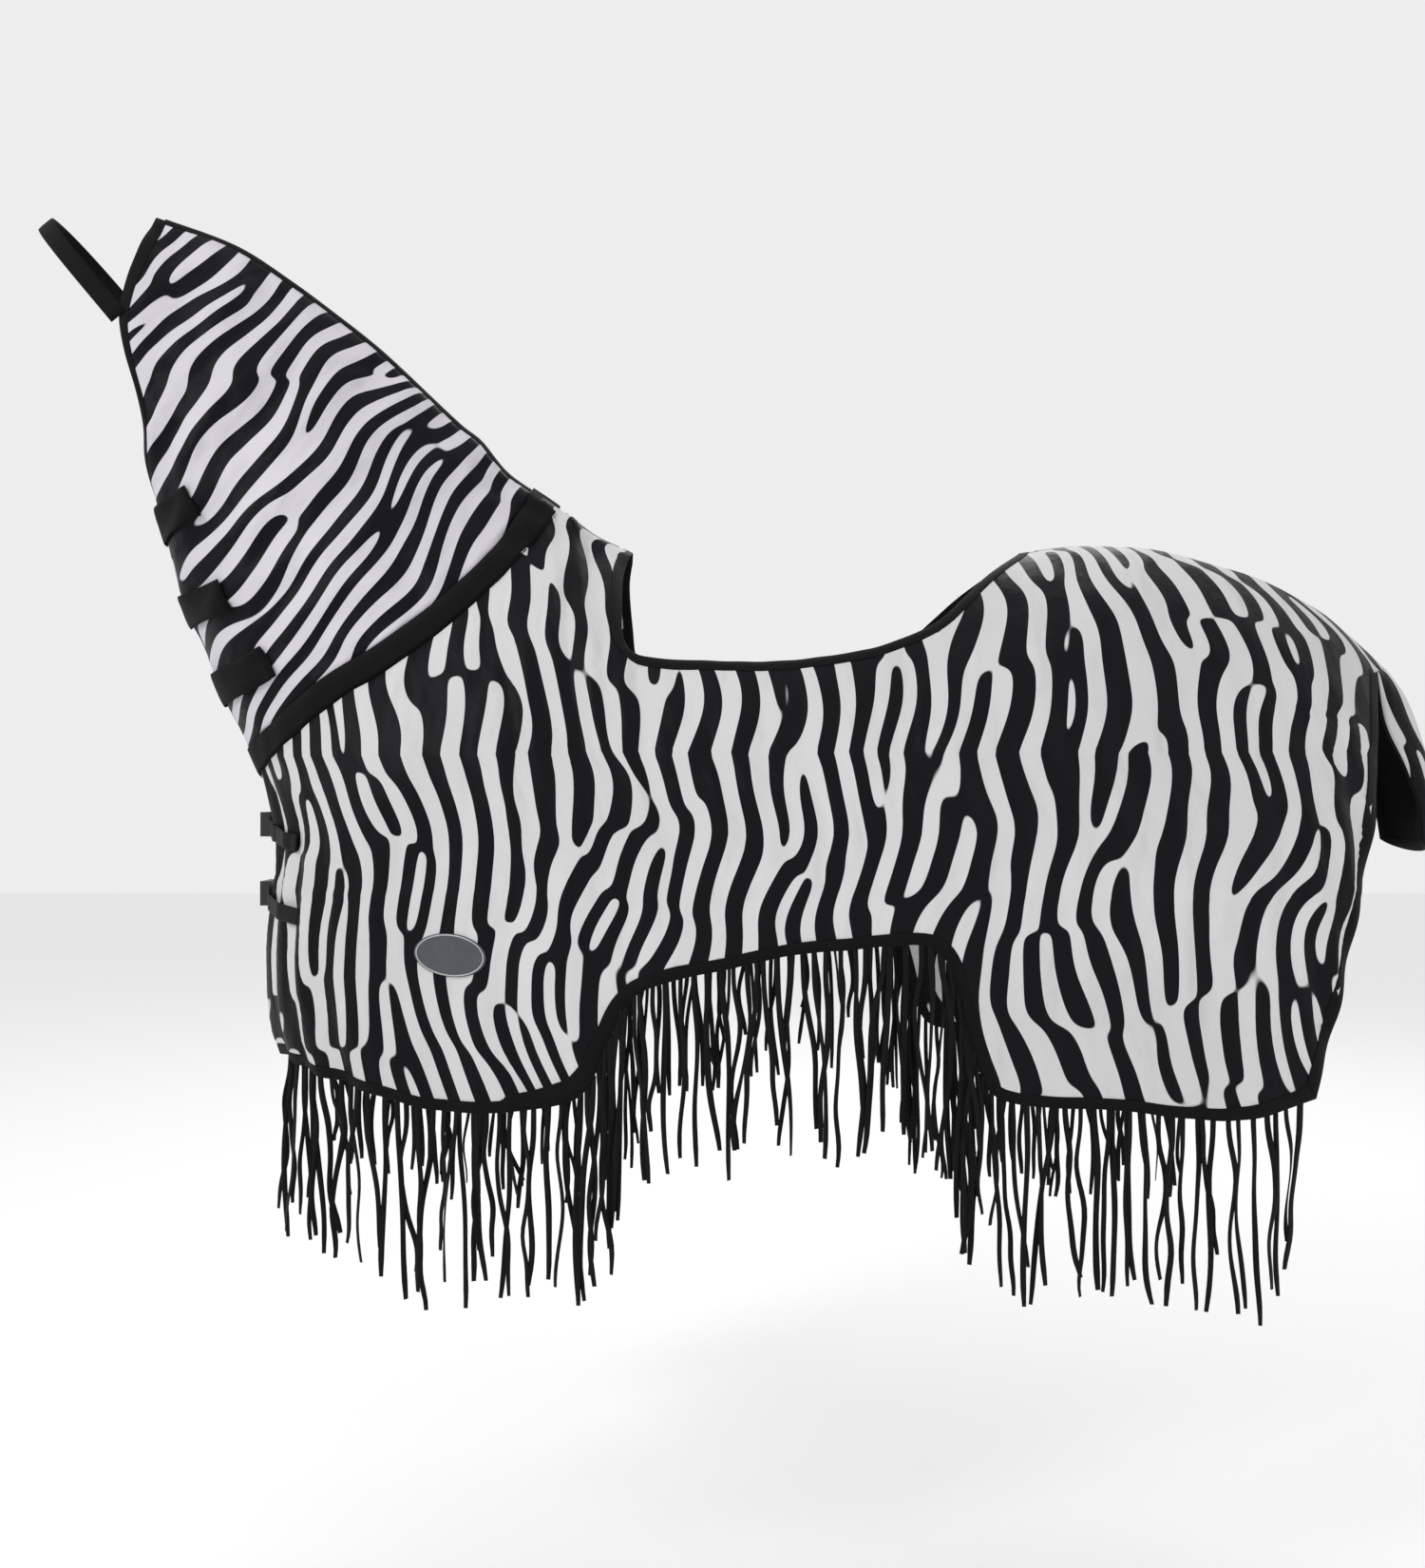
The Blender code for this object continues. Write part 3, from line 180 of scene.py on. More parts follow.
def spline(points, per_span=16):
    """Centripetal Catmull-Rom curve through the points."""
    pts = [np.array(p, float) for p in points]
    pts = [pts[0] * 2 - pts[1]] + pts + [pts[-1] * 2 - pts[-2]]
    curve = []
    for p0, p1, p2, p3 in zip(pts, pts[1:], pts[2:], pts[3:]):
        t1 = math.sqrt(np.linalg.norm(p1 - p0))
        t2 = t1 + math.sqrt(np.linalg.norm(p2 - p1))
        t3 = t2 + math.sqrt(np.linalg.norm(p3 - p2))
        for i in range(per_span):
            t = t1 + (t2 - t1) * i / per_span
            a1 = p0 * ((t1 - t) / t1) + p1 * (t / t1)
            a2 = p1 * ((t2 - t) / (t2 - t1)) + p2 * ((t - t1) / (t2 - t1))
            a3 = p2 * ((t3 - t) / (t3 - t2)) + p3 * ((t - t2) / (t3 - t2))
            b1 = a1 * ((t2 - t) / t2) + a2 * (t / t2)
            b2 = a2 * ((t3 - t) / (t3 - t1)) + a3 * ((t - t1) / (t3 - t1))
            curve.append(b1 * ((t2 - t) / (t2 - t1)) + b2 * ((t - t1) / (t2 - t1)))
    curve.append(pts[-2])
    return np.array(curve)


def run_of(curve):
    """Running length at each point."""
    return np.concatenate([[0.0], np.cumsum(np.linalg.norm(np.diff(curve, axis=0), axis=1))])


def at_share(curve, share):
    run = run_of(curve)
    want = np.clip(share, 0.0, 1.0) * run[-1]
    return np.stack([np.interp(want, run, curve[:, k]) for k in range(curve.shape[1])], axis=-1)


def resampled(curve, step):
    count = max(2, int(round(run_of(curve)[-1] / step)))
    return at_share(curve, np.linspace(0.0, 1.0, count + 1))


# ---- body form
def back_z(x):
    return table_value(BACK_LINE, x, LINE_SOFTEN)


def chest_x(z):
    return table_value(CHEST_LINE, z, LINE_SOFTEN)


def half_width(x, z):
    top = back_z(x)
    down = np.clip((top - z) / (top - WIDEST_Z), 0.0, 1.0)
    arch = np.sqrt(1 - (1 - down) ** 2)
    across = arch ** (1 + (table_value(RIDGE, x, TABLE_SOFTEN) - 1) * smooth(arch / RIDGE_START))
    along = np.clip((x - chest_x(z)) / CHEST_DEPTH, 0.0, 1.0)
    rounding = np.sqrt(1 - (1 - along) ** 2)
    above = (z - NECK_CHORD[1]) * NECK_CHORD_DIR[1] - (x - NECK_CHORD[0]) * NECK_CHORD_DIR[0]
    narrow = 1 - NECK_NARROWING * smooth((above - NECK_FADE[0]) / NECK_FADE[1])
    return table_value(HALF_WIDTH, x, TABLE_SOFTEN) * across * rounding * narrow


def quarter_arc(depth, width, steps=48):
    angle = np.pi / 2 * np.arange(steps + 1) / steps
    points = np.stack([width * np.sin(angle), depth * (1 - np.cos(angle))], axis=1)
    return run_of(points), points[:, 1]


DOWN_RUN, DOWN_AT = quarter_arc(0.45, 0.30)
CHEST_RUN, CHEST_AT = quarter_arc(CHEST_DEPTH, 0.25)


def beyond(keys, values, key):
    return np.interp(key, keys, values) + np.maximum(0.0, key - keys[-1])


def front_x(z):
    return chest_x(np.minimum(z, CHEST_TOP))


def top_z(x):
    return back_z(np.maximum(x, CREST_START))


def to_flat(x, z):
    along = beyond(CHEST_AT, CHEST_RUN, np.maximum(x - front_x(z), 0.0))
    down = beyond(DOWN_AT, DOWN_RUN, np.maximum(top_z(x) - z, 0.0))
    return np.stack([along, down], axis=-1)


def to_place(flat):
    run = beyond(CHEST_RUN, CHEST_AT, np.maximum(flat[..., 0], 0.0))
    depth = beyond(DOWN_RUN, DOWN_AT, np.maximum(flat[..., 1], 0.0))
    x = front_x(np.full(run.shape, -0.5)) + run
    z = top_z(x) - depth
    for _ in range(40):
        x = (x + front_x(z) + run) / 2
        z = top_z(x) - depth
    return x, z


def form_point(flat):
    """Points of the bare form's left side."""
    x, z = to_place(flat)
    return np.stack([x, -half_width(x, z), z], axis=-1)


def unit(v):
    return v / np.maximum(np.linalg.norm(v, axis=-1, keepdims=True), 1e-12)


def form_normal(flat, e=0.006):
    base = np.maximum(flat, e)
    along = form_point(base + [e, 0]) - form_point(base - [e, 0])
    down = form_point(base + [0, e]) - form_point(base - [0, e])
    return unit(np.cross(down, along))


def bump(value, centre, width):
    return np.exp(-((value - centre) / width) ** 2)


def body_relief(flat):
    """How far the cloth stands off the bare form: folds, gathers and slack."""
    a, d = flat[..., 0], flat[..., 1]
    x, z = to_place(flat)
    low = smooth((-0.30 - z) / 0.45)
    mid = smooth((-0.08 - z) / 0.3)
    hang = (np.sin(2 * np.pi * (a / 0.137 + 0.35 * np.sin(4.1 * d + 1.0)))
            + 0.6 * np.sin(2 * np.pi * (a / 0.083 + 0.25 * np.sin(5.3 * d + 2.0)) + 1.1))
    out = 0.0030 * low * hang * (0.6 + 0.4 * np.sin(3.1 * a + 0.4))
    out += 0.0016 * mid * np.sin(2 * np.pi * (a / 0.061 + 0.5 * np.sin(3.3 * d))
                                 + 2.0 * np.sin(7.0 * a))
    # Gathers of the shoulder, between the neck band and the saddle cut.
    gather = bump(x, -0.085, 0.10) * smooth((0.16 + z * 0.55 + 0.12) / 0.16) * (z > -0.6)
    out += 0.0042 * gather * np.sin(2 * np.pi * ((x + 0.16 * z) / 0.047))
    out += 0.006 * bump(x - 0.13 * (z - 0.02), -0.099, 0.012) * smooth((z + 0.24) / 0.12)
    # Upright folds where the cloth rounds the chest.
    chest = bump(a, 0.16, 0.11) * smooth((-0.30 - z) / 0.15)
    out += 0.0048 * chest * np.sin(2 * np.pi * (a / 0.072 + 0.12 * np.sin(9 * d)))
    # Long slack folds towards the tail.
    tail = bump(x, 1.03, 0.09) * smooth((-0.20 - z) / 0.15)
    out += 0.004 * tail * np.sin(2 * np.pi * ((x + 0.17 * z) / 0.058))
    # A packing crease along the side and one across the barrel.
    out += 0.0017 * bump(z, -0.512 + 0.012 * np.sin(6 * x), 0.006)
    out += 0.0012 * bump(x, 0.36 + 0.02 * np.sin(8 * z), 0.006) * mid
    # The dart on the quarter.
    dart = bump(z, -0.251 - 0.155 * (x - 0.923), 0.0045)
    out -= 0.0035 * dart * smooth((x - 0.905) / 0.03) * smooth((1.075 - x) / 0.02)
    out += 0.0011 * np.sin(31 * a + 17 * d) * np.sin(23 * d - 9 * a)
    # It stays flat under the badge and where it is sewn on the middle plane.
    out *= smooth((np.hypot(x - BADGE_AT[0], (z - BADGE_AT[1]) * 1.4) - 0.045) / 0.05)
    return out * smooth(a / 0.05) * smooth(d / 0.08)


def body_point(flat, lift=0.0):
    flat = np.asarray(flat, float)
    lifted = body_relief(flat) + lift
    return form_point(flat) + form_normal(flat) * np.asarray(lifted)[..., None]


# ---- outline of a side
def side_outline():
    def middle_run(first, last, place):
        steps = max(2, int(math.ceil(abs(last - first) / EDGE_STEP)))
        value = np.linspace(first, last, steps + 1)
        return to_flat(*place(value))

    def curved(points, backwards=True):
        curve = resampled(spline(points), EDGE_STEP)
        flat = to_flat(curve[:, 0], curve[:, 1])
        return flat[::-1] if backwards else flat

    runs = {
        "neckline": curved(NECKLINE, False),
        "chest": middle_run(NECKLINE[-1][1], HEM[-1][1], lambda z: (chest_x(z), z)),
        "hem": curved(HEM),
        "rear": curved(REAR),
        "tail_seam": curved(TAIL_SEAM),
        "croup": middle_run(TAIL_SEAM[0][0], SADDLE[-1][0], lambda x: (x, back_z(x))),
        "saddle": curved(SADDLE),
        "withers": middle_run(SADDLE[0][0], NECKLINE[0][0], lambda x: (x, back_z(x))),
    }
    points, labels = [], []
    for edge, run in runs.items():
        run = run.copy()
        if edge in ON_MIDDLE:
            run[:, 0 if edge == "chest" else 1] = 0.0
        points += list(run[:-1])
        labels += [edge] * (len(run) - 1)
    for i, edge in enumerate(labels):
        before = labels[i - 1]
        if before != edge and (edge in ON_MIDDLE or before in ON_MIDDLE):
            middle = edge if edge in ON_MIDDLE else before
            points[i][0 if middle == "chest" else 1] = 0.0
    return np.array(points), labels


POINTS, LABELS = side_outline()
SIGN = 1.0 if np.sum(POINTS[:, 0] * np.roll(POINTS[:, 1], -1)
                     - np.roll(POINTS[:, 0], -1) * POINTS[:, 1]) > 0 else -1.0


def stations(edge):
    numbers = [i for i, label in enumerate(LABELS) if label == edge]
    return numbers + [(numbers[-1] + 1) % len(POINTS)]


def line_distance(points, line):
    """Distance of each point to a line of straight pieces."""
    best = np.full(len(points), np.inf)
    for p, q in zip(line, line[1:]):
        side = q - p
        t = np.clip((points - p) @ side / max(side @ side, 1e-12), 0, 1)
        best = np.minimum(best, np.linalg.norm(points - p - t[:, None] * side, axis=1))
    return best


def inset(width):
    """Outline moved inwards by width[edge], and which of its points are good."""
    before = unit(POINTS - np.roll(POINTS, 1, axis=0))
    after = unit(np.roll(POINTS, -1, axis=0) - POINTS)
    n1, n2 = [way[:, ::-1] * [-SIGN, SIGN] for way in (before, after)]
    d1 = np.array([width[LABELS[i - 1]] for i in range(len(POINTS))])
    d2 = np.array([width[label] for label in LABELS])
    det = n1[:, 0] * n2[:, 1] - n1[:, 1] * n2[:, 0]
    safe = np.where(np.abs(det) < 0.3, 1.0, det)
    mitre = np.stack([(d1 * n2[:, 1] - d2 * n1[:, 1]) / safe,
                      (d2 * n1[:, 0] - d1 * n2[:, 0]) / safe], 1)
    plain = unit(n1 + n2) * ((d1 + d2) / 2)[:, None]
    moved = POINTS + np.where((np.abs(det) < 0.3)[:, None], plain, mitre)
    good = np.ones(len(POINTS), bool)
    for edge, w in width.items():
        if w > 0:
            good &= line_distance(moved, POINTS[stations(edge)]) > w * 0.96
    for i, label in enumerate(LABELS):
        if LABELS[i - 1] != label:
            good[i] = True
    return moved, good


# ---- neck form
_neckline = resampled(spline(NECKLINE), EDGE_STEP)
NECKLINE_CURVE = form_point(to_flat(_neckline[:, 0], _neckline[:, 1]))
NECKLINE_CURVE[0] = CREST[0]
NECKLINE_CURVE[-1] = THROAT[0]
CREST_CURVE, THROAT_CURVE, FRONT_CURVE = spline(CREST), spline(THROAT), spline(NECK_FRONT)


def neck_form(u, v):
    u, v = np.asarray(u, float)[..., None], np.asarray(v, float)[..., None]
    low, high = at_share(NECKLINE_CURVE, v[..., 0]), at_share(FRONT_CURVE, v[..., 0])
    top, under = at_share(CREST_CURVE, u[..., 0]), at_share(THROAT_CURVE, u[..., 0])
    corner = (NECKLINE_CURVE[0] * (1 - u) * (1 - v) + NECKLINE_CURVE[-1] * (1 - u) * v
              + FRONT_CURVE[0] * u * (1 - v) + FRONT_CURVE[-1] * u * v)
    return low * (1 - u) + high * u + top * (1 - v) + under * v - corner


def neck_normal(u, v, e=0.02):
    a, b = np.clip(u, e, 1 - e), np.clip(v, e, 1 - e)
    along = neck_form(a + e, b) - neck_form(a - e, b)
    down = neck_form(a, b + e) - neck_form(a, b - e)
    normal = unit(np.cross(along, down))
    return np.where(normal[..., 1:2] < 0, normal, -normal)


def neck_share(u, v, way, distance):
    """Change of u or v that moves a point by a distance."""
    e = 0.01
    if way == "u":
        a = np.clip(u, e, 1 - e)
        moved = neck_form(a + e, v) - neck_form(a - e, v)
    else:
        b = np.clip(v, 2 * e, 1 - 2 * e)
        moved = neck_form(u, b + e) - neck_form(u, b - e)
    return distance * 2 * e / np.linalg.norm(moved, axis=-1)


def neck_relief(u, v):
    near = np.exp(-u / 0.16)
    gather = np.sin(2 * np.pi * (v * 8.5 + 0.55 * np.sin(5 * u + 3 * v)))
    edge = smooth(v / 0.06) * smooth((1 - v) / 0.28)
    out = 0.0045 * near * gather * smooth(u / 0.05)
    out += 0.0034 * smooth((u - 0.1) / 0.2) * np.sin(2 * np.pi * (u * 3.7 + 1.3 * v)
                                                     + 1.5 * np.sin(6 * v))
    out += 0.0022 * np.sin(2 * np.pi * (u * 7.1 - 2.1 * v) + 2.0 * np.sin(4 * v)) * smooth(u / 0.2)
    out += 0.006 * bump(v, 0.05, 0.035) * bump(u, 0.08, 0.09) * np.sin(2 * np.pi * u / 0.075)
    out += 0.0012 * np.sin(41 * u + 12 * v) * np.sin(33 * v - 11 * u)
    return out * edge + 0.0028 * np.exp(-u / 0.035)


def neck_point(u, v, lift=0.0):
    u, v = np.asarray(u, float), np.asarray(v, float)
    return neck_form(u, v) + neck_normal(u, v) * (neck_relief(u, v) + lift)[..., None]


# ---- materials
def node(tree, kind, inputs=None, **settings):
    made = tree.nodes.new(kind)
    for key, value in settings.items():
        setattr(made, key, value)
    for key, value in (inputs or {}).items():
        if isinstance(value, bpy.types.NodeSocket):
            tree.links.new(value, made.inputs[key])
        else:
            made.inputs[key].default_value = value
    return made


def math_node(tree, operation, *values):
    return node(tree, "ShaderNodeMath", dict(enumerate(values)), operation=operation).outputs[0]


def vector_node(tree, operation, *values):
    return node(tree, "ShaderNodeVectorMath", dict(enumerate(values)), operation=operation).outputs


def noise(tree, where, scale, detail, roughness=0.5, dimensions="2D"):
    inputs = {"Vector": where, "Scale": scale, "Detail": detail, "Roughness": roughness}
    return node(tree, "ShaderNodeTexNoise", inputs, noise_dimensions=dimensions).outputs


def map_range(tree, value, low, high, to_low=0.0, to_high=1.0, kind="LINEAR"):
    inputs = {"Value": value, "From Min": low, "From Max": high, "To Min": to_low, "To Max": to_high}
    return node(tree, "ShaderNodeMapRange", inputs, interpolation_type=kind).outputs[0]


def bumped(tree, strength, distance, height, under=None):
    inputs = {"Strength": strength, "Distance": distance, "Height": height}
    if under is not None:
        inputs["Normal"] = under
    return node(tree, "ShaderNodeBump", inputs).outputs[0]


def new_material(name, roughness, specular, sheen=0.0):
    mat = bpy.data.materials.new(name)
    mat.use_nodes = True
    tree = mat.node_tree
    shader = tree.nodes["Principled BSDF"]
    shader.inputs["Roughness"].default_value = roughness
    shader.inputs["Sheen Weight"].default_value = sheen
    shader.inputs["Specular IOR Level"].default_value = specular
    return mat, tree, shader


def connect(tree, shader, colour, light, normal):
    """The colour times its light and shade, and the normal, into the shader."""
    tinted = node(tree, "ShaderNodeVectorMath", {0: colour, "Scale": light}, operation="SCALE")
    tree.links.new(tinted.outputs[0], shader.inputs["Base Color"])
    tree.links.new(normal, shader.inputs["Normal"])


def uv_of(tree):
    return node(tree, "ShaderNodeUVMap", uv_map="cloth").outputs[0]


def weave(tree, uv, period, slant=0.0):
    """Height 0 to 1 of a plain weave of that thread period."""
    along, across = node(tree, "ShaderNodeSeparateXYZ", {0: uv}).outputs[:2]
    if slant:
        along = math_node(tree, "MULTIPLY_ADD", across, slant, along)
    warp, weft = [math_node(tree, "SINE", math_node(tree, "MULTIPLY", way, 2 * math.pi / period))
                  for way in (along, across)]
    return math_node(tree, "MULTIPLY_ADD", math_node(tree, "MULTIPLY", warp, weft), 0.5, 0.5)


def wave_sum(tree, uv, period, angle, seed):
    """Sum of plane waves of nearly one direction: its crests fork and end as zebra stripes do."""
    moved = uv
    for scale, across, down in PRINT_DRIFT:
        centred = vector_node(tree, "SUBTRACT", noise(tree, uv, scale, 0.0)["Color"],
                              (0.5, 0.5, 0.5))[0]
        drift = vector_node(tree, "MULTIPLY", centred, (across, down, 0.0))[0]
        moved = vector_node(tree, "ADD", moved, drift)[0]
    draw = random.Random(seed)
    total = None
    for _ in range(PRINT_WAVES):
        turn = angle + draw.gauss(0.0, PRINT_SPREAD)
        k = 2 * math.pi / period * (1 + draw.uniform(-PRINT_STRETCH, PRINT_STRETCH))
        wave = (k * math.cos(turn), k * math.sin(turn), 0.0)
        dot = vector_node(tree, "DOT_PRODUCT", moved, wave)["Value"]
        term = math_node(tree, "COSINE", math_node(tree, "ADD", dot, draw.uniform(0, 2 * math.pi)))
        total = term if total is None else math_node(tree, "ADD", total, term)
    return total


def zebra_material(name, period, angle, seed, white):
    """Printed knit: black and white stripes, with fine threads and soft creases, and painted shade in the
    hollows between the threads.
    """
    mat, tree, shader = new_material(name, 0.62, 0.10, 0.02)
    uv = uv_of(tree)
    wider = math_node(tree, "MULTIPLY_ADD", noise(tree, uv, 5.0, 1.0)[0], 3.0, -1.5)
    total = math_node(tree, "ADD", wave_sum(tree, uv, period, angle, seed), wider)
    mask = map_range(tree, total, 0.02, 0.22, kind="SMOOTHSTEP")
    colour = node(tree, "ShaderNodeMix", {0: mask, 6: PRINT_BLACK, 7: white}, data_type="RGBA").outputs[2]
    knit = weave(tree, uv, KNIT_PERIOD)
    shade = map_range(tree, noise(tree, uv, 2.3, 3.0)[0], 0.3, 0.7, 0.93, 1.03)
    # painted shade: the colour is darker in the knit's hollows between the threads
    light = math_node(tree, "MULTIPLY", shade, math_node(tree, "MULTIPLY_ADD", knit, 0.10, 0.92))
    tree.links.new(map_range(tree, mask, 0.0, 1.0, 0.48, 0.72), shader.inputs["Roughness"])
    slack = vector_node(tree, "MULTIPLY", uv, (1.0, 0.42, 0.0))[0]
    folds = bumped(tree, 0.75, 0.030, noise(tree, slack, 12.0, 2.5, 0.45)[0])
    creases = bumped(tree, 0.5, 0.002, noise(tree, uv, 55.0, 3.0)[0], folds)
    connect(tree, shader, colour, light, bumped(tree, 0.3, 0.0003, knit, creases))
    return mat


def tape_material(name, colour, roughness, period, stitched=True, fuzz=0.0, sheen=0.03):
    """Woven black tape with a slanted rib, and a row of stitches near one edge; painted shade in the
    weave's hollows, and a painted highlight on the stitches.
    """
    mat, tree, shader = new_material(name, roughness, 0.12, sheen)
    uv = uv_of(tree)
    cloth = weave(tree, uv, period, 0.6)
    # painted shade: the colour is darker in the weave's hollows
    light = math_node(tree, "MULTIPLY", math_node(tree, "MULTIPLY_ADD", noise(tree, uv, 45.0, 4.0)[0],
                                                  0.7, 0.45),
                      math_node(tree, "MULTIPLY_ADD", cloth, 0.5, 0.7))
    height = cloth
    if stitched:
        along, across = node(tree, "ShaderNodeSeparateXYZ", {0: uv}).outputs[:2]
        dash = math_node(tree, "SINE", math_node(tree, "MULTIPLY", along, 2 * math.pi / STITCH_PITCH))
        line = math_node(tree, "ABSOLUTE", math_node(tree, "SUBTRACT", across, STITCH_IN))
        thread = math_node(tree, "MULTIPLY", map_range(tree, line, 0.0, STITCH_HALF, 1.0, 0.0),
                           math_node(tree, "MAXIMUM", dash, 0.0))
        height = math_node(tree, "MULTIPLY_ADD", thread, 3.0, cloth)
        # painted highlight: the stitches are painted lighter where they stand highest
        light = math_node(tree, "MULTIPLY_ADD", thread, 1.2, light)
    if fuzz:
        height = math_node(tree, "MULTIPLY_ADD", noise(tree, uv, 900.0, 2.0)[0], fuzz, height)
    connect(tree, shader, colour, light, bumped(tree, 0.5, 0.0004, height))
    return mat


def moulded_material(name, colour, roughness, grain):
    """Moulded plastic or rubber with a fine grain and uneven wear."""
    mat, tree, shader = new_material(name, roughness, 0.5)
    where = node(tree, "ShaderNodeTexCoord").outputs["Object"]
    wear = noise(tree, where, 60.0, 4.0, dimensions="3D")[0]
    rough = map_range(tree, wear, 0.0, 1.0, roughness - 0.1, roughness + 0.12)
    tree.links.new(rough, shader.inputs["Roughness"])
    speck = noise(tree, where, grain, 3.0, dimensions="3D")[0]
    connect(tree, shader, colour, math_node(tree, "MULTIPLY_ADD", wear, 0.6, 0.7),
            bumped(tree, 0.25, 0.0002, speck))
    return mat


BODY_PRINT = zebra_material("print_body", 0.050, 0.0, 5, (0.61, 0.608, 0.615, 1.0))
NECK_PRINT = zebra_material("print_neck", 0.043, math.radians(5), 53, (0.60, 0.58, 0.625, 1.0))
BINDING = tape_material("edge_binding", (0.0028, 0.0028, 0.0033), 0.72, 0.0011)
HOOK_LOOP = tape_material("hook_and_loop", (0.003, 0.003, 0.0034), 0.9, 0.0016, True, 1.2, 0.0375)
WEBBING = tape_material("webbing", (0.004, 0.004, 0.0046), 0.6, 0.0022)
FRINGE_BLACK = tape_material("fringe_cloth", (0.0055, 0.0055, 0.006), 0.66, 0.0009, False, 0.6, 0.0225)
LINING = tape_material("lining_cloth", (0.004, 0.004, 0.0042), 0.85, 0.0012, False)
PLASTIC = moulded_material("buckle_nylon", (0.010, 0.010, 0.011), 0.36, 900.0)
RUBBER = moulded_material("badge_rubber", (0.055, 0.060, 0.072), 0.5, 700.0)
RIM = moulded_material("badge_rim", (0.42, 0.42, 0.43), 0.45, 700.0)


# ---- mesh objects
def make(name, verts, faces, uvs, material, body, slot, stands_for=(), thickness=None):
    """One piece that rides on its body. A piece without a body stays unattached."""
    mesh = bpy.data.meshes.new(name)
    mesh.from_pydata([tuple(map(float, v)) for v in verts], [], [tuple(map(int, f)) for f in faces])
    layer = mesh.uv_layers.new(name="cloth")
    corner = np.zeros(len(mesh.loops), np.int32)
    mesh.loops.foreach_get("vertex_index", corner)
    layer.data.foreach_set("uv", np.asarray(uvs, np.float32)[corner].ravel())
    mesh.materials.append(material)
    mesh.shade_smooth()
    mesh.update()
    obj = bpy.data.objects.new(name, mesh)
    bpy.context.scene.collection.objects.link(obj)
    if thickness:
        solid = obj.modifiers.new("Solidify", "SOLIDIFY")
        solid.thickness = thickness
        solid.offset = 0.0
    if body:
        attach(obj, body)
    if stands_for:
        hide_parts(*stands_for)
    return obj


def other_side(verts, faces):
    return np.array(verts) * [1, -1, 1], [tuple(reversed(f)) for f in faces]


def make_pair(name, mesh, material, body, slot, node_name, thickness=None, shift=0.0):
    """A piece of the left side and its mirror; the shift gives the right one other stripes."""
    verts, faces, uvs = mesh
    left = make(name + "_left", verts, faces, uvs, material, body, slot,
                [node_name + "_left"], thickness)
    right = make(name + "_right", *other_side(verts, faces), uvs + [shift, 0.0], material, body, slot,
                 [node_name + "_right"], thickness)
    return left, right


def outward(verts, faces):
    """Turns a closed mesh's faces outwards."""
    corners = np.array([(f[0], f[i], f[i + 1]) for f in faces for i in range(1, len(f) - 1)])
    p = verts[corners]
    volume = np.sum(p[:, 0] * np.cross(p[:, 1], p[:, 2]))
    return verts, [tuple(reversed(f)) for f in faces] if volume < 0 else faces


def shell(rings, looped=False):
    """Closed mesh through rings of points, capped unless its ends meet."""
    rows, around = rings.shape[:2]
    faces = [(i * around + k, i * around + (k + 1) % around,
              (i + 1) % rows * around + (k + 1) % around, (i + 1) % rows * around + k)
             for i in range(rows if looped else rows - 1) for k in range(around)]
    if not looped:
        faces += [tuple(range(around))[::-1], tuple(range((rows - 1) * around, rows * around))]
    return outward(rings.reshape(-1, 3), faces)


def tube(rings, run, across):
    """A capped shell, with its running length and its width as cloth coordinates."""
    uvs = np.stack(np.broadcast_arrays(run[:, None], across), -1).reshape(-1, 2)
    return *shell(rings), uvs


def band(outer, inner, normal, thick):
    """Folded tape sewn over an edge, from its outer to its inner line."""
    h = normal * thick / 2
    mid = (outer + inner) / 2
    near = inner * 0.9 + outer * 0.1
    rings = np.stack([inner + h * 0.6, near + h, mid + h * 1.1, outer + h * 0.75,
                      outer + unit(outer - inner) * FOLD_BULGE, outer - h * 0.75, mid - h * 1.1,
                      near - h, inner - h * 0.6], axis=1)
    width = np.linalg.norm(outer - inner, axis=1)[:, None]
    return tube(rings, run_of(mid), width * [0, 0.1, 0.5, 1.0, 1.02, 1.0, 0.5, 0.1, 0])


def slab(name, rows, normals, thick, material, body, slot, stands_for):
    """Closed flat strap with soft edges, from rows of points across its width."""
    columns = rows.shape[1]
    half = np.full((columns, 1), thick / 2)
    half[[0, -1]] *= 0.45
    off = (normals if normals.ndim == 3 else normals[:, None]) * half
    rings = np.concatenate([rows + off, (rows - off)[:, ::-1]], axis=1)
    width = run_of(rows[0])
    mesh = tube(rings, run_of(rows[:, columns // 2]), np.concatenate([width, width[::-1]]))
    return make(name, *mesh, material, body, slot, stands_for)


def ridge_tape(name, middle, left, half, profile, body, node_name):
    """Tape over a seam on the middle plane. The profile is shares of its half width and heights."""
    middle[:, 1] = 0.0
    up = unit(np.cross(unit(np.gradient(middle, axis=0)), [0.0, 1.0, 0.0]))
    up = np.where(up[:, 2:3] < 0, -up, up)
    rings = []
    for share, height in profile:
        side = left if share < 0 else left * [1, -1, 1]
        rings.append(middle + (side - middle) * abs(share) + up * height)
    across = (np.array([share for share, _ in profile]) + 1) * half
    mesh = tube(np.stack(rings, 1), run_of(middle), across)
    return make(name, *mesh, BINDING, body, "black_binding", [node_name])


def grid_faces(rows, columns):
    return [(a, a + 1, a + columns + 1, a + columns)
            for i in range(rows - 1) for a in range(i * columns, (i + 1) * columns - 1)]


def inside(points, loop):
    hit = np.zeros(len(points), bool)
    for p, q in zip(loop, np.roll(loop, -1, axis=0)):
        if p[1] == q[1]:
            continue
        crosses = (p[1] > points[:, 1]) != (q[1] > points[:, 1])
        x = p[0] + (q[0] - p[0]) * (points[:, 1] - p[1]) / (q[1] - p[1])
        hit ^= crosses & (points[:, 0] < x)
    return hit


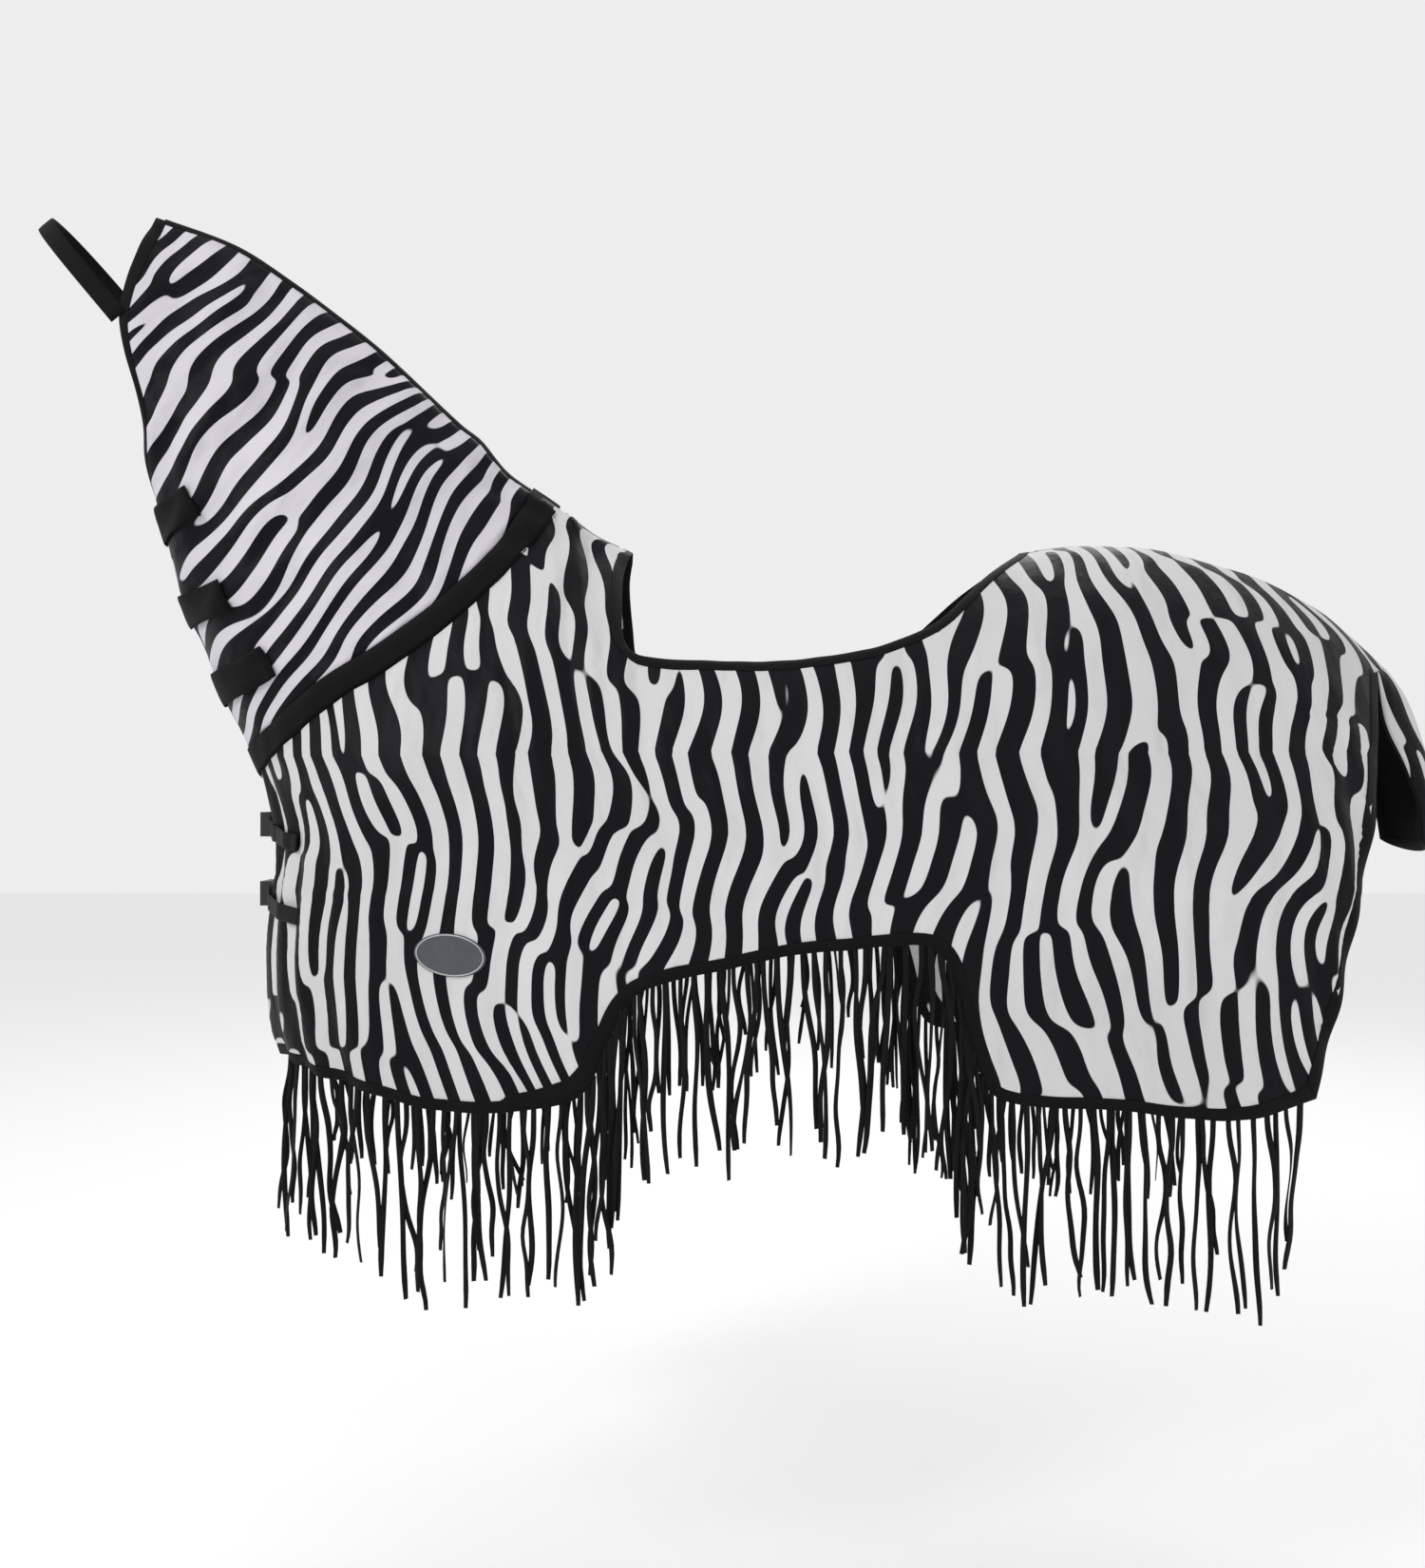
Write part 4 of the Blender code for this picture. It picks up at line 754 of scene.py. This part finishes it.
def filled(loop, step):
    """Triangles that fill a flat outline, from points on a triangular grid."""
    low, high = loop.min(0), loop.max(0)
    j, i = np.meshgrid(np.arange(int((high[1] - low[1]) / (step * ROW_RISE)) + 2),
                       np.arange(int((high[0] - low[0]) / step) + 2), indexing="ij")
    grid = np.stack([low[0] + i * step + np.where(j % 2, step / 2, 0.0),
                     low[1] + j * step * ROW_RISE], axis=-1).reshape(-1, 2)
    grid = grid[inside(grid, loop)]
    grid = grid[line_distance(grid, np.concatenate([loop, loop[:1]])) > step * 0.45]
    points = [Vector(p) for p in np.concatenate([loop, grid])]
    edges = [(i, (i + 1) % len(loop)) for i in range(len(loop))]
    verts, _, faces, _, _, _ = delaunay_2d_cdt(points, edges, [], 1, 1e-7)
    return np.array([tuple(v) for v in verts]), [tuple(f) for f in faces]


# ---- body sheet
def add_side_cloth():
    """The printed panels, reaching halfway under their bindings."""
    half = {edge: width * 0.5 for edge, width in EDGE_WIDTH.items()}
    half["neckline"] = 0.012
    half["tail_seam"] = 0.0005
    moved, good = inset(half)
    loop = moved[good]
    keep = [0]
    for i in range(1, len(loop)):
        if np.linalg.norm(loop[i] - loop[keep[-1]]) > 0.003:
            keep.append(i)
    flat, faces = filled(loop[keep], FINE)
    return make_pair("cloth_side", (body_point(flat), faces, flat), BODY_PRINT, BODY, "zebra_mesh",
                     "side_panel", CLOTH, 5.37)


def band_rows(edge, lift=0.0):
    """Outer and inner points and normals of the binding along one edge."""
    none = {name: SEAM_GAP if name in ON_MIDDLE else 0.0 for name in EDGE_WIDTH}
    full = dict(EDGE_WIDTH, croup=SEAM_INSET, withers=SEAM_INSET)
    if edge == "chest":
        none["neckline"] = EDGE_WIDTH["neckline"]
    if edge == "neckline":
        full["chest"] = SEAM_GAP
    outer, _ = inset(none)
    inner, good = inset(full)
    numbers = stations(edge)
    first, last = numbers[0], numbers[-1]
    numbers = [i for i in numbers if good[i] or i in (first, last)]
    if edge == "chest":
        below = np.linalg.norm(outer - POINTS[first], axis=1) > EDGE_WIDTH["neckline"]
        numbers = [i for i in numbers if below[i] or i == first]
    a, b = outer[numbers], inner[numbers]
    return body_point(a, lift), body_point(b, lift), form_normal((a + b) / 2)


def add_side_bindings():
    made = []
    for edge, name, thick in (("hem", "hem_binding", 0.0030), ("saddle", "saddle_binding", 0.0030),
                              ("rear", "rear_binding", 0.0028), ("chest", "front_binding", 0.0028)):
        made += make_pair(f"tape_{name}", band(*band_rows(edge), thick), BINDING, BODY,
                          "black_binding", name)
    made += make_pair("tape_loop_band", band(*band_rows("neckline"), 0.0022), HOOK_LOOP, BODY,
                      "hook_loop", "neckline_loop_band")
    return made


def add_back_tape(name, node_name, first, last):
    x = np.linspace(first, last, int(abs(last - first) / EDGE_STEP) + 2)
    along = to_flat(x, back_z(x))[:, 0]
    half = EDGE_WIDTH["croup"]
    left = body_point(np.stack([along, np.full(len(x), half)], 1))
    middle = body_point(np.stack([along, np.zeros(len(x))], 1))
    shares = (-1.0, -0.5, 0.0, 0.5, 1.0)
    profile = [(share, 0.0016) for share in shares] + [(share, -0.0012) for share in shares[::-1]]
    return ridge_tape(name, middle, left, half, profile, BODY, node_name)


def add_badge():
    """Oval plate with a raised rim, both laid on the cloth of the left shoulder."""
    flat = to_flat(np.array(BADGE_AT[0]), np.array(BADGE_AT[1]))
    half_length, half_height = BADGE_HALF

    def laid(name, points, looped, material, stands_for=()):
        """A piece from points along, across and above the badge."""
        u, v, height = points.reshape(-1, 3).T
        turned = np.stack([u * math.cos(BADGE_TURN) - v * math.sin(BADGE_TURN),
                           u * math.sin(BADGE_TURN) + v * math.cos(BADGE_TURN)], 1)
        place = body_point(flat + turned, height + 0.0006).reshape(points.shape)
        return make(name, *shell(place, looped), np.stack([u, v], 1), material, BODY,
                    "badge_rubber", stands_for)

    def oval(sides, share, wider):
        angle = 2 * np.pi * np.arange(sides) / sides
        return np.cos(angle) * (half_length * share + wider), np.sin(angle) * (half_height * share + wider)

    plate = [np.stack([*oval(64, share, 0.0), np.full(64, height)], 1) for share, height in
             ((0.80, 0.0030), (0.88, 0.0031), (0.955, 0.0030), (0.985, 0.0026), (1.0, 0.0016),
              (1.0, 0.0002), (0.5, 0.0))]
    half, low, high = 0.0011, 0.0026, 0.0038
    rim = [np.stack([*oval(72, 0.93, wider), np.full(72, height)], 1) for wider, height in
           ((-half, low), (-half * 0.6, high), (half * 0.6, high), (half, low))]
    return [laid("badge_plate", np.stack(plate), False, RUBBER, ["badge"]),
            laid("badge_rim", np.stack(rim, 1), True, RIM)]


# ---- neck cover
def neck_grid(rows, columns):
    """u and v of a grid that reaches halfway under the neck's bindings."""
    s, t = np.meshgrid(np.linspace(0, 1, rows), np.linspace(0, 1, columns), indexing="ij")
    u, v = s, t
    for _ in range(3):
        u_high = 1 - neck_share(np.full_like(v, NECK_END), v, "u", NECK_FRONT_WIDTH / 2)
        u = 0.002 + (u_high - 0.002) * s
        v_low = neck_share(u, np.full_like(u, NECK_TOP), "v", CREST_HALF / 2)
        v_high = 1 - neck_share(u, np.full_like(u, NECK_UNDER), "v", THROAT_WIDTH / 2)
        v = v_low + (v_high - v_low) * t
    return u, v


def add_neck_cloth():
    rows, columns = 66, 56
    verts = neck_point(*neck_grid(rows, columns))
    steps = np.linalg.norm(np.diff(verts, axis=1), axis=2)
    down = np.concatenate([np.zeros((rows, 1)), np.cumsum(steps, axis=1)], axis=1)
    uvs = np.stack([verts @ np.array([-0.81, 0.0, 0.59]), down], -1).reshape(-1, 2)
    return make_pair("cloth_neck", (verts.reshape(-1, 3), grid_faces(rows, columns), uvs),
                     NECK_PRINT, NECK, "zebra_mesh", "neck_panel", CLOTH, 4.1)


def add_neck_tapes():
    made = []
    v = np.linspace(0.0, 1.0, 60)
    v = np.clip(v, neck_share(NECK_END, NECK_TOP, "v", NECK_SEAM_GAP),
                1 - neck_share(NECK_END, NECK_UNDER, "v", NECK_SEAM_GAP))
    inner = 1 - neck_share(np.full_like(v, NECK_END), v, "u", NECK_FRONT_WIDTH)
    front = band(neck_point(np.ones_like(v), v), neck_point(inner, v), neck_normal(inner, v), 0.0030)
    made += make_pair("tape_neck_front", front, BINDING, NECK, "black_binding", "neck_front_binding")

    u = np.linspace(0.006, 1 - neck_share(NECK_END, 1.0, "u", NECK_FRONT_WIDTH * 0.8), 50)
    inner_v, outer_v = [1 - neck_share(u, np.full_like(u, NECK_UNDER), "v", width)
                        for width in (THROAT_WIDTH, NECK_SEAM_GAP)]
    throat = band(neck_point(u, outer_v), neck_point(u, inner_v), neck_normal(u, inner_v), 0.0028)
    made += make_pair("tape_throat", throat, BINDING, NECK, "black_binding", "throat_binding")

    u = np.linspace(0.006, 1 - neck_share(NECK_END, 0.0, "u", NECK_FRONT_WIDTH * 0.8), 70)
    left = neck_point(u, neck_share(u, np.full_like(u, NECK_TOP), "v", CREST_HALF))
    middle = neck_point(u, np.zeros_like(u)) + [0.0, 0.0, 0.0008]
    profile = [(share, 0.0016 * height) for share, height in (
        (-1, 0.4), (-0.6, 1.0), (0, 1.3), (0.6, 1.0), (1, 0.4), (1, -0.6), (0, -0.8), (-1, -0.6))]
    made.append(ridge_tape("tape_crest", middle, left, CREST_HALF, profile, NECK, "crest_seam_tape"))

    outer, inner, normal = band_rows("neckline", 0.0040)
    hooks = band(outer, outer + (inner - outer) * 0.95, normal, 0.0026)
    made += make_pair("tape_hook_band", hooks, HOOK_LOOP, NECK, "hook_loop", "neck_hook_band")
    return made


def throat_wrap(place, end, shift, pieces=16):
    """Points and directions of a line round the throat, shifted along it by metres."""
    share = np.linspace(0, 1, pieces + 1)
    far_v = 1 - neck_share(np.full_like(share, place), np.full_like(share, 0.93), "v",
                           STRAP_FAR_REACH) * share
    points, normals = [], []
    for side, u, v in ((1, np.full_like(share, place), far_v),
                       (-1, place + (end[0] - place) * share, 1 + (end[1] - 1) * share)):
        u = np.minimum(u + neck_share(u, v, "u", shift), 0.985)
        p = neck_point(u, v)
        ahead = neck_form(min(u[0] + 0.05, 1.0), 1.0) - neck_form(u[0] - 0.05, 1.0)
        first = unit(np.cross([0.0, 1.0, 0.0], ahead))
        first = -first if first[0] > 0 else first
        fade = smooth(np.abs(1 - v) / 0.05)[:, None]
        n = unit(first * (1 - fade) + neck_normal(u, v) * fade)
        if side > 0:
            points += list((p * [1, -1, 1])[::-1])
            normals += list((n * [1, -1, 1])[::-1])
        else:
            points += list(p[1:])
            normals += list(n[1:])
    return np.array(points), np.array(normals)


def add_throat_straps():
    """Straps sewn to the right side that wrap the throat, and the loop pads under their near ends."""
    made = []
    for name, (place, end) in THROAT_STRAPS.items():
        lines = [throat_wrap(place, end, STRAP_WIDTH / 2 * t) for t in np.linspace(-1, 1, 9)]
        points, normals = [np.stack(parts, 1) for parts in zip(*lines)]
        slab(f"strap_throat_{name}", points + normals * 0.0060, normals, 0.0026, HOOK_LOOP,
             f"throat_strap_{name}", "hook_loop", [f"throat_strap_{name}"])
        made.append(slab(f"pad_throat_{name}", (points + normals * 0.0032)[-7:-1], normals[-7:-1],
                         0.0016, HOOK_LOOP, NECK, "hook_loop", [f"throat_loop_pad_{name}"]))
    return made


def add_browband():
    start = np.array(BROW_START)
    ahead = (np.array(BROW_MIDDLE) - start) * [1, 0, 1]
    across = unit(np.array([-ahead[2], 0.0, ahead[0]])) * BROW_WIDTH / 2
    angle = np.linspace(-1, 1, 61)
    t = 1 - np.abs(angle) ** 1.6
    centre = start + ahead * t[:, None]
    centre[:, 1] = -start[1] * np.sign(angle) * np.sqrt(np.maximum(1 - t ** 4, 0))
    normal = unit(np.cross(unit(np.gradient(centre, axis=0)), across))
    rows = np.stack([centre + across * s for s in np.linspace(-1, 1, 5)], 1)
    slab("strap_browband", rows, normal, 0.0024, BINDING, "browband", "black_binding", ["browband"])


# ---- tail flap
TAIL_CURVE = form_point(to_flat(*resampled(spline(TAIL_SEAM), 0.004).T))
TAIL_CURVE[0, 1] = 0.0
FLAP_EDGE_CURVE, FLAP_MIDDLE_CURVE = spline(FLAP_EDGE), spline(FLAP_MIDDLE)


def flap_form(across, down):
    across, down = np.broadcast_arrays(np.asarray(across, float), np.asarray(down, float))
    edge, middle = at_share(FLAP_EDGE_CURVE, down), at_share(FLAP_MIDDLE_CURVE, down)
    bow = np.sqrt(np.maximum(0.0, 1 - across ** 2))
    share = np.where(down < 1 / 6, smooth(down * 6), 1.0)[..., None]
    point = edge + (middle - edge) * bow[..., None]
    point[..., 1] = edge[..., 1] * np.abs(across)
    seam = at_share(TAIL_CURVE, np.abs(across))
    point = seam * (1 - share) + point * share
    point[..., 1] = np.where(across < 0, point[..., 1], -point[..., 1])
    return point


def flap_layer(across, down, lift):
    e = 0.02
    side = flap_form(np.minimum(across + e, 1), down) - flap_form(np.maximum(across - e, -1), down)
    fall = flap_form(across, np.minimum(down + e, 1)) - flap_form(across, np.maximum(down - e, 0))
    normal = unit(np.cross(side, fall))
    normal = np.where(normal[..., 0:1] < 0, -normal, normal)
    ripple = 0.0022 * np.sin(7.5 * across + 0.6) * np.sin(3.0 * down + 0.3) * smooth(down / 0.2)
    return flap_form(across, down) + normal * (lift + ripple)[..., None], normal


def add_tail_flap():
    """Printed cloth, black lining and binding, bent at the seam."""
    down = np.linspace(0.004, 0.985, 34)
    a, d = np.meshgrid(np.sin(np.radians(np.linspace(-88, 88, 41))), down, indexing="xy")
    made = []
    for name, lift, material, slot, stands_for in (
            ("cloth_tail_flap", 0.0009, BODY_PRINT, "zebra_mesh", "tail_flap"),
            ("lining_tail_flap", -0.0009, LINING, "tail_lining", "tail_flap_lining")):
        verts, _ = flap_layer(a, d, lift)
        steps = np.linalg.norm(np.diff(verts, axis=1), axis=2)
        run = np.concatenate([np.zeros((len(down), 1)), np.cumsum(steps, axis=1)], 1)
        uvs = np.stack([run + 2.03, d * 0.3 + 0.35], -1).reshape(-1, 2)
        made.append(make(name, verts.reshape(-1, 3), grid_faces(*a.shape), uvs, material, None, slot,
                         [stands_for], 0.0009))
    # Down one side, round the end and up the other, at the binding's inner and outer lines.
    inner_turn = math.radians(66)
    edge_in = math.sin(inner_turn)
    sides = np.linspace(0.01, 0.93, 30)
    end = -np.sin(np.linspace(inner_turn, -inner_turn, 25))
    across_in = np.concatenate([np.full(30, -edge_in), end, np.full(30, edge_in)])
    across_out = across_in / edge_in
    down_in, down_out = [np.concatenate([sides, np.full(25, bottom), sides[::-1]])
                         for bottom in (0.945, 1.0)]
    outer, _ = flap_layer(across_out, down_out, 0.0)
    inner, normal = flap_layer(across_in, down_in, 0.0)
    made.append(make("tape_tail_flap", *band(outer, inner, normal, 0.0038), BINDING, None,
                     "black_binding", ["tail_flap_binding"]))
    for obj in made:
        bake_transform(obj)
    return made


# ---- fringe
def add_fringe():
    """Cut strips hanging from the hem, each its own ribbon, gathered per swinging section."""
    line = body_point(POINTS[stations("hem")])
    line = line[np.argsort(line[:, 0])]
    run = run_of(line)
    made = []
    for side, label in ((-1, "left"), (1, "right")):
        for name, (first, last, drop) in FRINGE.items():
            draw = random.Random(sum(map(ord, name)) * 7 + (3 if side > 0 else 0))
            start, end = np.interp([first, last], line[:, 0], run)
            verts, faces, uvs = [], [], []
            place = start + 0.004
            while place < end - 0.003:
                root = np.array([np.interp(place, run, line[:, k]) for k in range(3)])
                points, quads, cloth = strip(draw, root, drop)
                faces += [tuple(len(verts) + k for k in quad) for quad in quads]
                verts += list(points)
                uvs += list(cloth)
                close = draw.random() < 0.22
                place += draw.uniform(0.004, 0.007) if close else draw.uniform(0.013, 0.023)
            mesh = other_side(verts, faces) if side > 0 else (verts, faces)
            made.append(make(f"strips_{name}_{label}", *mesh, uvs, FRINGE_BLACK,
                             f"fringe_{name}_{label}", "black_fringe", [f"fringe_{name}_{label}"]))
    return made


def strip(draw, root, drop):
    """One ribbon, a closed thin strip that turns and sways as it hangs."""
    length = drop * draw.uniform(0.80, 1.0)
    if draw.random() < 0.12:
        length *= draw.uniform(0.72, 0.9)
    width = draw.uniform(0.0064, 0.0088)
    steps = 22
    t = np.linspace(0, 1, steps + 1)
    drift = draw.gauss(0.0, 0.013)
    sway = draw.uniform(0.0015, 0.0065)
    waves = draw.uniform(0.6, 1.5)
    phase = draw.uniform(0, 6.28)
    curl = draw.uniform(-0.002, 0.002)
    out = max(-0.012, min(0.012, draw.gauss(0, 0.008)))
    x = (drift * t ** 1.3
         + sway * (np.sin(phase + waves * 2 * np.pi * t) - math.sin(phase)) * smooth(t * 3)
         + curl * np.sin(2 * np.pi * t * waves * 2.3) * t)
    y = (-0.004 * smooth(t * 4) + out * t
         + 0.004 * np.sin(phase * 1.7 + waves * 5.1 * t) * smooth(t * 3))
    slope = (np.gradient(x) ** 2 + np.gradient(y) ** 2) / (length / steps) ** 2
    slack = np.sqrt(np.maximum(1 - slope, 0.2))
    z = -np.concatenate([[0.0], np.cumsum((slack[1:] + slack[:-1]) / 2)]) * length / steps
    centre = root + np.stack([x, y, z + 0.004], 1)
    first_turn = draw.uniform(-0.5, 0.5)
    twist = draw.uniform(0.2, 0.9)
    turn = first_turn + twist * np.sin(phase + t * draw.uniform(1.5, 4.5)) * smooth(t * 2.5)
    ahead = unit(np.gradient(centre, axis=0))
    wide = np.stack([np.cos(turn), np.sin(turn), np.zeros_like(turn)], 1)
    wide = unit(wide - ahead * np.sum(wide * ahead, axis=1, keepdims=True))
    thin = np.cross(ahead, wide) * STRIP_THICK / 2
    half = width / 2 * (1 - 0.25 * smooth((t - 0.9) / 0.1)) * (1 + 0.08 * np.sin(9 * t + phase))
    rings = np.stack([centre + wide * half[:, None] * w + thin * q
                      for w, q in ((-1, -1), (1, -1), (1, 1), (-1, 1))], 1)
    across = root[0] + half[:, None] * [-1, 1, 1, -1]
    uvs = np.stack(np.broadcast_arrays(across, t[:, None] * length), -1).reshape(-1, 2)
    return *shell(rings), uvs


# ---- chest closures
def closure_points(buckle_z, sewn_z, reach, start, count=32):
    """Middle line of one strap, from its buckle to its sewn end on the left side."""
    share = np.linspace(0, 1, count)
    y = start + (reach - start) * share
    z = buckle_z + (sewn_z - buckle_z) * share
    near, far = chest_x(z), chest_x(z) + CHEST_DEPTH
    for _ in range(40):
        middle = (near + far) / 2
        low = half_width(middle, z) < y
        near, far = np.where(low, middle, near), np.where(low, far, middle)
    flat = to_flat(near, z)
    lift = STRAP_OUT + np.maximum(body_relief(flat), 0) * 0.6
    lift = lift - (lift - 0.0030) * smooth((share - 0.8) / 0.2)
    point = np.stack([near, -y, z], 1) + form_normal(flat) * lift[:, None]
    first_x = float(chest_x(np.array(buckle_z))) - BUCKLE_STAND_OFF + BUCKLE_DEPTH / 2 + 0.002
    ahead = np.stack([np.full(count, first_x), -y, z], 1)
    fade = smooth(share * 3.0)[:, None]
    return ahead * (1 - fade) + point * fade


def add_closures():
    """Webbing to both sides of each buckle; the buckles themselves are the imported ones."""
    for name, (buckle_z, sewn_z, reach) in CLOSURES.items():
        for label, mirror, start, body in (
                ("left", 1, PLUG_LENGTH - 0.004, f"chest_closure_{name}"),
                ("right", -1, SOCKET_LENGTH - 0.003, BODY)):
            centre = closure_points(buckle_z, sewn_z, reach, start) * [1, mirror, 1]
            ahead = unit(np.gradient(centre, axis=0))
            wide = unit([0.0, 0.0, 1.0] - ahead * ahead[:, 2:])
            rows = np.stack([centre + wide * WEBBING_WIDTH / 2 * s for s in np.linspace(-1, 1, 7)], 1)
            slab(f"webbing_{name}_{label}", rows, unit(np.cross(ahead, wide)), 0.0019, WEBBING, body,
                 "black_binding", [f"chest_strap_{name}_{label}"])
        for part in ("socket", "plug"):
            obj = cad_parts[f"buckle_{part}_{name}"]
            obj.data.materials.clear()
            obj.data.materials.append(PLASTIC)
            bevel = obj.modifiers.new("Bevel", "BEVEL")
            bevel.width = 0.0007
            bevel.segments = 2
            bevel.limit_method = "ANGLE"


# ---- stage
def add_floor(size=14.0, height=-1.55):
    mesh = bpy.data.meshes.new("floor")
    mesh.from_pydata([(-size, -size, height), (size, -size, height), (size, size, height),
                      (-size, size, height)], [], [(0, 1, 2, 3)])
    floor = bpy.data.objects.new("floor", mesh)
    bpy.context.scene.collection.objects.link(floor)
    mat, _, shader = new_material("pale_floor", 0.9, 0.5)
    shader.inputs["Base Color"].default_value = (0.92, 0.92, 0.92, 1.0)
    mesh.materials.append(mat)


def add_light():
    bpy.context.scene.view_settings.view_transform = "Standard"
    world = bpy.data.worlds.new("studio")
    bpy.context.scene.world = world
    world.use_nodes = True
    background = world.node_tree.nodes["Background"]
    background.inputs["Color"].default_value = (1.0, 1.0, 1.0, 1.0)
    background.inputs["Strength"].default_value = 0.85
    aim = Vector((0.2, 0.0, -0.35))
    for name, place, power, size in (("key", (-2.9, -2.6, 2.2), 70.0, 1.0),
                                     ("fill", (3.0, -3.0, 0.6), 12.0, 1.6),
                                     ("back", (1.0, 3.4, 2.6), 60.0, 2.4)):
        data = bpy.data.lights.new(name, "AREA")
        data.energy = power
        data.size = size
        lamp = bpy.data.objects.new(name, data)
        lamp.location = place
        lamp.rotation_euler = (aim - Vector(place)).to_track_quat("-Z", "Y").to_euler()
        bpy.context.scene.collection.objects.link(lamp)


def add_camera():
    data = bpy.data.cameras.new("camera")
    data.sensor_width = 36.0
    data.lens = 34.7
    camera = bpy.data.objects.new("camera", data)
    camera.location = (0.126, -2.386, -0.363)
    camera.rotation_euler = (math.pi / 2, 0.0, 0.0)
    bpy.context.scene.collection.objects.link(camera)
    bpy.context.scene.camera = camera


# ---- the whole sheet
side_left, side_right = add_side_cloth()
side_tapes = add_side_bindings()
add_back_tape("tape_withers", "withers_seam_tape", -0.105, -0.022)
add_back_tape("tape_croup", "croup_seam_tape", 0.634, 1.176)
badge = add_badge()
neck_left, neck_right = add_neck_cloth()
neck_tapes = add_neck_tapes()
pads = add_throat_straps()
add_browband()
flap = add_tail_flap()
fringe = add_fringe()
add_closures()
add_floor()
add_light()
add_camera()
